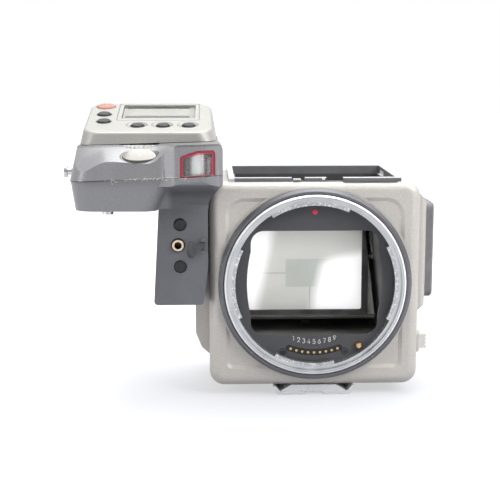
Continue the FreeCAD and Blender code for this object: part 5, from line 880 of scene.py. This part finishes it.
class CAMERA_BODY_OT_mirror_box(Operator):
    """Finish the mirror box, mirrors, links, gears, shutter and focusing screen"""
    bl_idname = "camera_body.mirror_box"
    bl_label = "Mirror box"

    def execute(self, context):
        dress("inside", "chassis", "screen_frame", "mirror_tray")
        dress("mirror", "mirror_glass", "sub_mirror")
        dress("steel", "mirror_links", "drive_motor", "magazine_support", "magazine_catch")
        dress("brass", "mirror_idler_gear", "motor_pinion")
        dress("screen", "focusing_screen")
        dress("key", "af_sensor_module")
        dress("board", "main_circuit_board")
        dress("leaf", "upper_shutter_leaf", "lower_shutter_leaf")
        dress("frame", "rear_frame")
        return {"FINISHED"}


class CAMERA_BODY_OT_finder_bay(Operator):
    """Finish the finder's seat and catch"""
    bl_idname = "camera_body.finder_bay"
    bl_label = "Finder bay"

    def execute(self, context):
        dress("seat", "finder_rail_frame")
        dress("steel", "finder_catch")
        return {"FINISHED"}


class CAMERA_BODY_OT_grip(Operator):
    """Finish the grip head, its column, lugs and inner frame"""
    bl_idname = "camera_body.grip"
    bl_label = "Grip head"

    def execute(self, context):
        dress("upper", "grip_front_shell")
        dress("lower", "grip_lower_shell")
        dress("back", "grip_rear_cover")
        dress("column", "grip_column")
        dress("key", "grip_frame", "rear_lock_button")
        dress("steel", "strap_lugs", "battery_guide_post")
        return {"FINISHED"}


class CAMERA_BODY_OT_controls(Operator):
    """Finish the release, wheels, keys, flash terminal and its cap"""
    bl_idname = "camera_body.controls"
    bl_label = "Controls"

    def execute(self, context):
        dress("release", "shutter_release_button")
        dress("wheel", "front_control_wheel")
        dress("socket", "sync_terminal")
        dress("key", "rear_control_wheel", "side_button_1", "side_button_2", "front_button_1",
              "front_button_2", "front_button_3", "mirror_up_button", "stop_down_button")
        dress("key_red", "power_button")
        dress("cap", "sync_cap")
        return {"FINISHED"}


class CAMERA_BODY_OT_lamp_and_display(Operator):
    """Finish the focus lamp and the display"""
    bl_idname = "camera_body.lamp_and_display"
    bl_label = "Lamp and display"

    def execute(self, context):
        dress("lamp", "af_lamp_window")
        dress("reflector", "af_lamp_led")
        piece("lamp_reflector_sheet", reflector_sheet(), "reflector")
        dress("window", "lcd_window")
        dress("display", "lcd_module")
        return {"FINISHED"}


class CAMERA_BODY_OT_foot(Operator):
    """Finish the tripod foot"""
    bl_idname = "camera_body.foot"
    bl_label = "Tripod foot"

    def execute(self, context):
        dress("foot", "tripod_foot")
        return {"FINISHED"}


def white_floor(scene, width):
    """Square sheet of matte paper under the camera, which shows white to the camera and in reflections."""
    low, half = CAD_BOX[0][2], width / 2
    corners = [(-half, -half, low), (half, -half, low), (half, half, low), (-half, half, low)]
    mesh = bpy.data.meshes.new("floor")
    mesh.from_pydata(corners, [], [(0, 1, 2, 3)])
    floor = bpy.data.objects.new("floor", mesh)
    scene.collection.objects.link(floor)
    material = bpy.data.materials.new("White sweep")
    material.use_nodes = True
    tree = material.node_tree
    tree.nodes.clear()
    rays = add(tree, "LightPath").outputs
    seen = either(tree, rays["Is Camera Ray"], rays["Is Glossy Ray"], rays["Is Transmission Ray"])
    reach = add(tree, "VectorMath", add(tree, "TexCoord").outputs["Object"], operation="LENGTH")
    glow = both(tree, seen, add(tree, "MapRange", reach, 0.05, 0.22, 0.52, 1.0))
    paper = add(tree, "BsdfDiffuse", {"Color": PAPER})
    light = add(tree, "Emission", {"Color": WHITE, "Strength": glow})
    add(tree, "OutputMaterial", {"Surface": add(tree, "AddShader", paper, light)})
    mesh.materials.append(material)


def white_surroundings(scene):
    """World that is white to the camera, soft from above and behind, and darker from the front, so that
    metal shows a gradient."""
    scene.world = bpy.data.worlds.new("White surroundings")
    scene.world.use_nodes = True
    tree = scene.world.node_tree
    tree.nodes.clear()
    rays = add(tree, "LightPath").outputs
    direction = add(tree, "SeparateXYZ", add(tree, "TexCoord").outputs["Generated"]).outputs
    front = add(tree, "MapRange", direction[1], -0.75, 0.15, 0.34, 1.0)
    above = add(tree, "MapRange", direction[2], 0.2, 0.8, 0.0, 0.7)
    level = add(tree, "Math", add(tree, "Math", front, above, operation="ADD"), 1.0, operation="MINIMUM")
    soft = add(tree, "Background", {"Color": WHITE, "Strength": both(tree, level, ROOM_LIGHT)})
    white = add(tree, "Background", {"Color": WHITE, "Strength": 1.0})
    mirrored = add(tree, "Background", {"Color": WHITE, "Strength": level})
    bounced = either(tree, rays["Is Glossy Ray"], rays["Is Transmission Ray"])
    unseen = add(tree, "MixShader", bounced, soft, mirrored)
    add(tree, "OutputWorld", {"Surface": add(tree, "MixShader", rays["Is Camera Ray"], unseen, white)})


class CAMERA_BODY_OT_stage(Operator):
    """Floor, plain studio light, white surroundings and the camera"""
    bl_idname = "camera_body.stage"
    bl_label = "Stage"

    def execute(self, context):
        scene = context.scene
        sizes = scene.stage_sizes
        white_floor(scene, sizes.floor)
        white_surroundings(scene)

        for name, (at, size, watts) in LAMPS.items():
            light = bpy.data.lights.new(name, "AREA")
            light.shape = "RECTANGLE"
            light.size, light.size_y = size
            light.energy = watts
            lamp = bpy.data.objects.new(name, light)
            scene.collection.objects.link(lamp)
            lamp.location = at
            lamp.rotation_euler = (-Vector(at)).to_track_quat("-Z", "Y").to_euler()

        view = bpy.data.cameras.new("camera")
        view.lens = sizes.lens
        view.sensor_width = 36.0
        view.clip_start = 0.01
        camera = bpy.data.objects.new("camera", view)
        scene.collection.objects.link(camera)
        camera.location = CAMERA_AT
        camera.rotation_euler = (math.pi / 2 - sizes.pitch, 0, -sizes.yaw)
        scene.camera = camera
        scene.view_settings.view_transform = "Standard"
        return {"FINISHED"}


STEPS = (CAMERA_BODY_OT_stage, CAMERA_BODY_OT_covers, CAMERA_BODY_OT_lens_mount, CAMERA_BODY_OT_mirror_box,
         CAMERA_BODY_OT_finder_bay, CAMERA_BODY_OT_grip, CAMERA_BODY_OT_controls,
         CAMERA_BODY_OT_lamp_and_display, CAMERA_BODY_OT_foot)
GROUPS = {"cover_colours": CoverColours, "part_colours": PartColours, "fine_sizes": FineSizes,
          "stage_sizes": StageSizes}


class CAMERA_BODY_PT_sidebar(Panel):
    """Lists the steps"""
    bl_label = "Camera body"
    bl_space_type = "VIEW_3D"
    bl_region_type = "UI"
    bl_category = "Camera Body"

    def draw(self, context):
        for name in GROUPS:
            group = getattr(context.scene, name)
            box = self.layout.box()
            for key in group.bl_rna.properties.keys():
                if key not in ("rna_type", "name"):
                    box.prop(group, key)
        for step in STEPS:
            self.layout.operator(step.bl_idname)


def register():
    for cls in (*GROUPS.values(), *STEPS, CAMERA_BODY_PT_sidebar):
        bpy.utils.register_class(cls)
    for name, cls in GROUPS.items():
        setattr(bpy.types.Scene, name, PointerProperty(type=cls))


def unregister():
    for name in GROUPS:
        delattr(bpy.types.Scene, name)
    for cls in reversed((*GROUPS.values(), *STEPS, CAMERA_BODY_PT_sidebar)):
        bpy.utils.unregister_class(cls)


def main():
    register()
    for step in STEPS:
        group, name = step.bl_idname.split(".")
        getattr(getattr(bpy.ops, group), name)()
    bpy.context.view_layer.update()


if __name__ == "__main__":
    main()
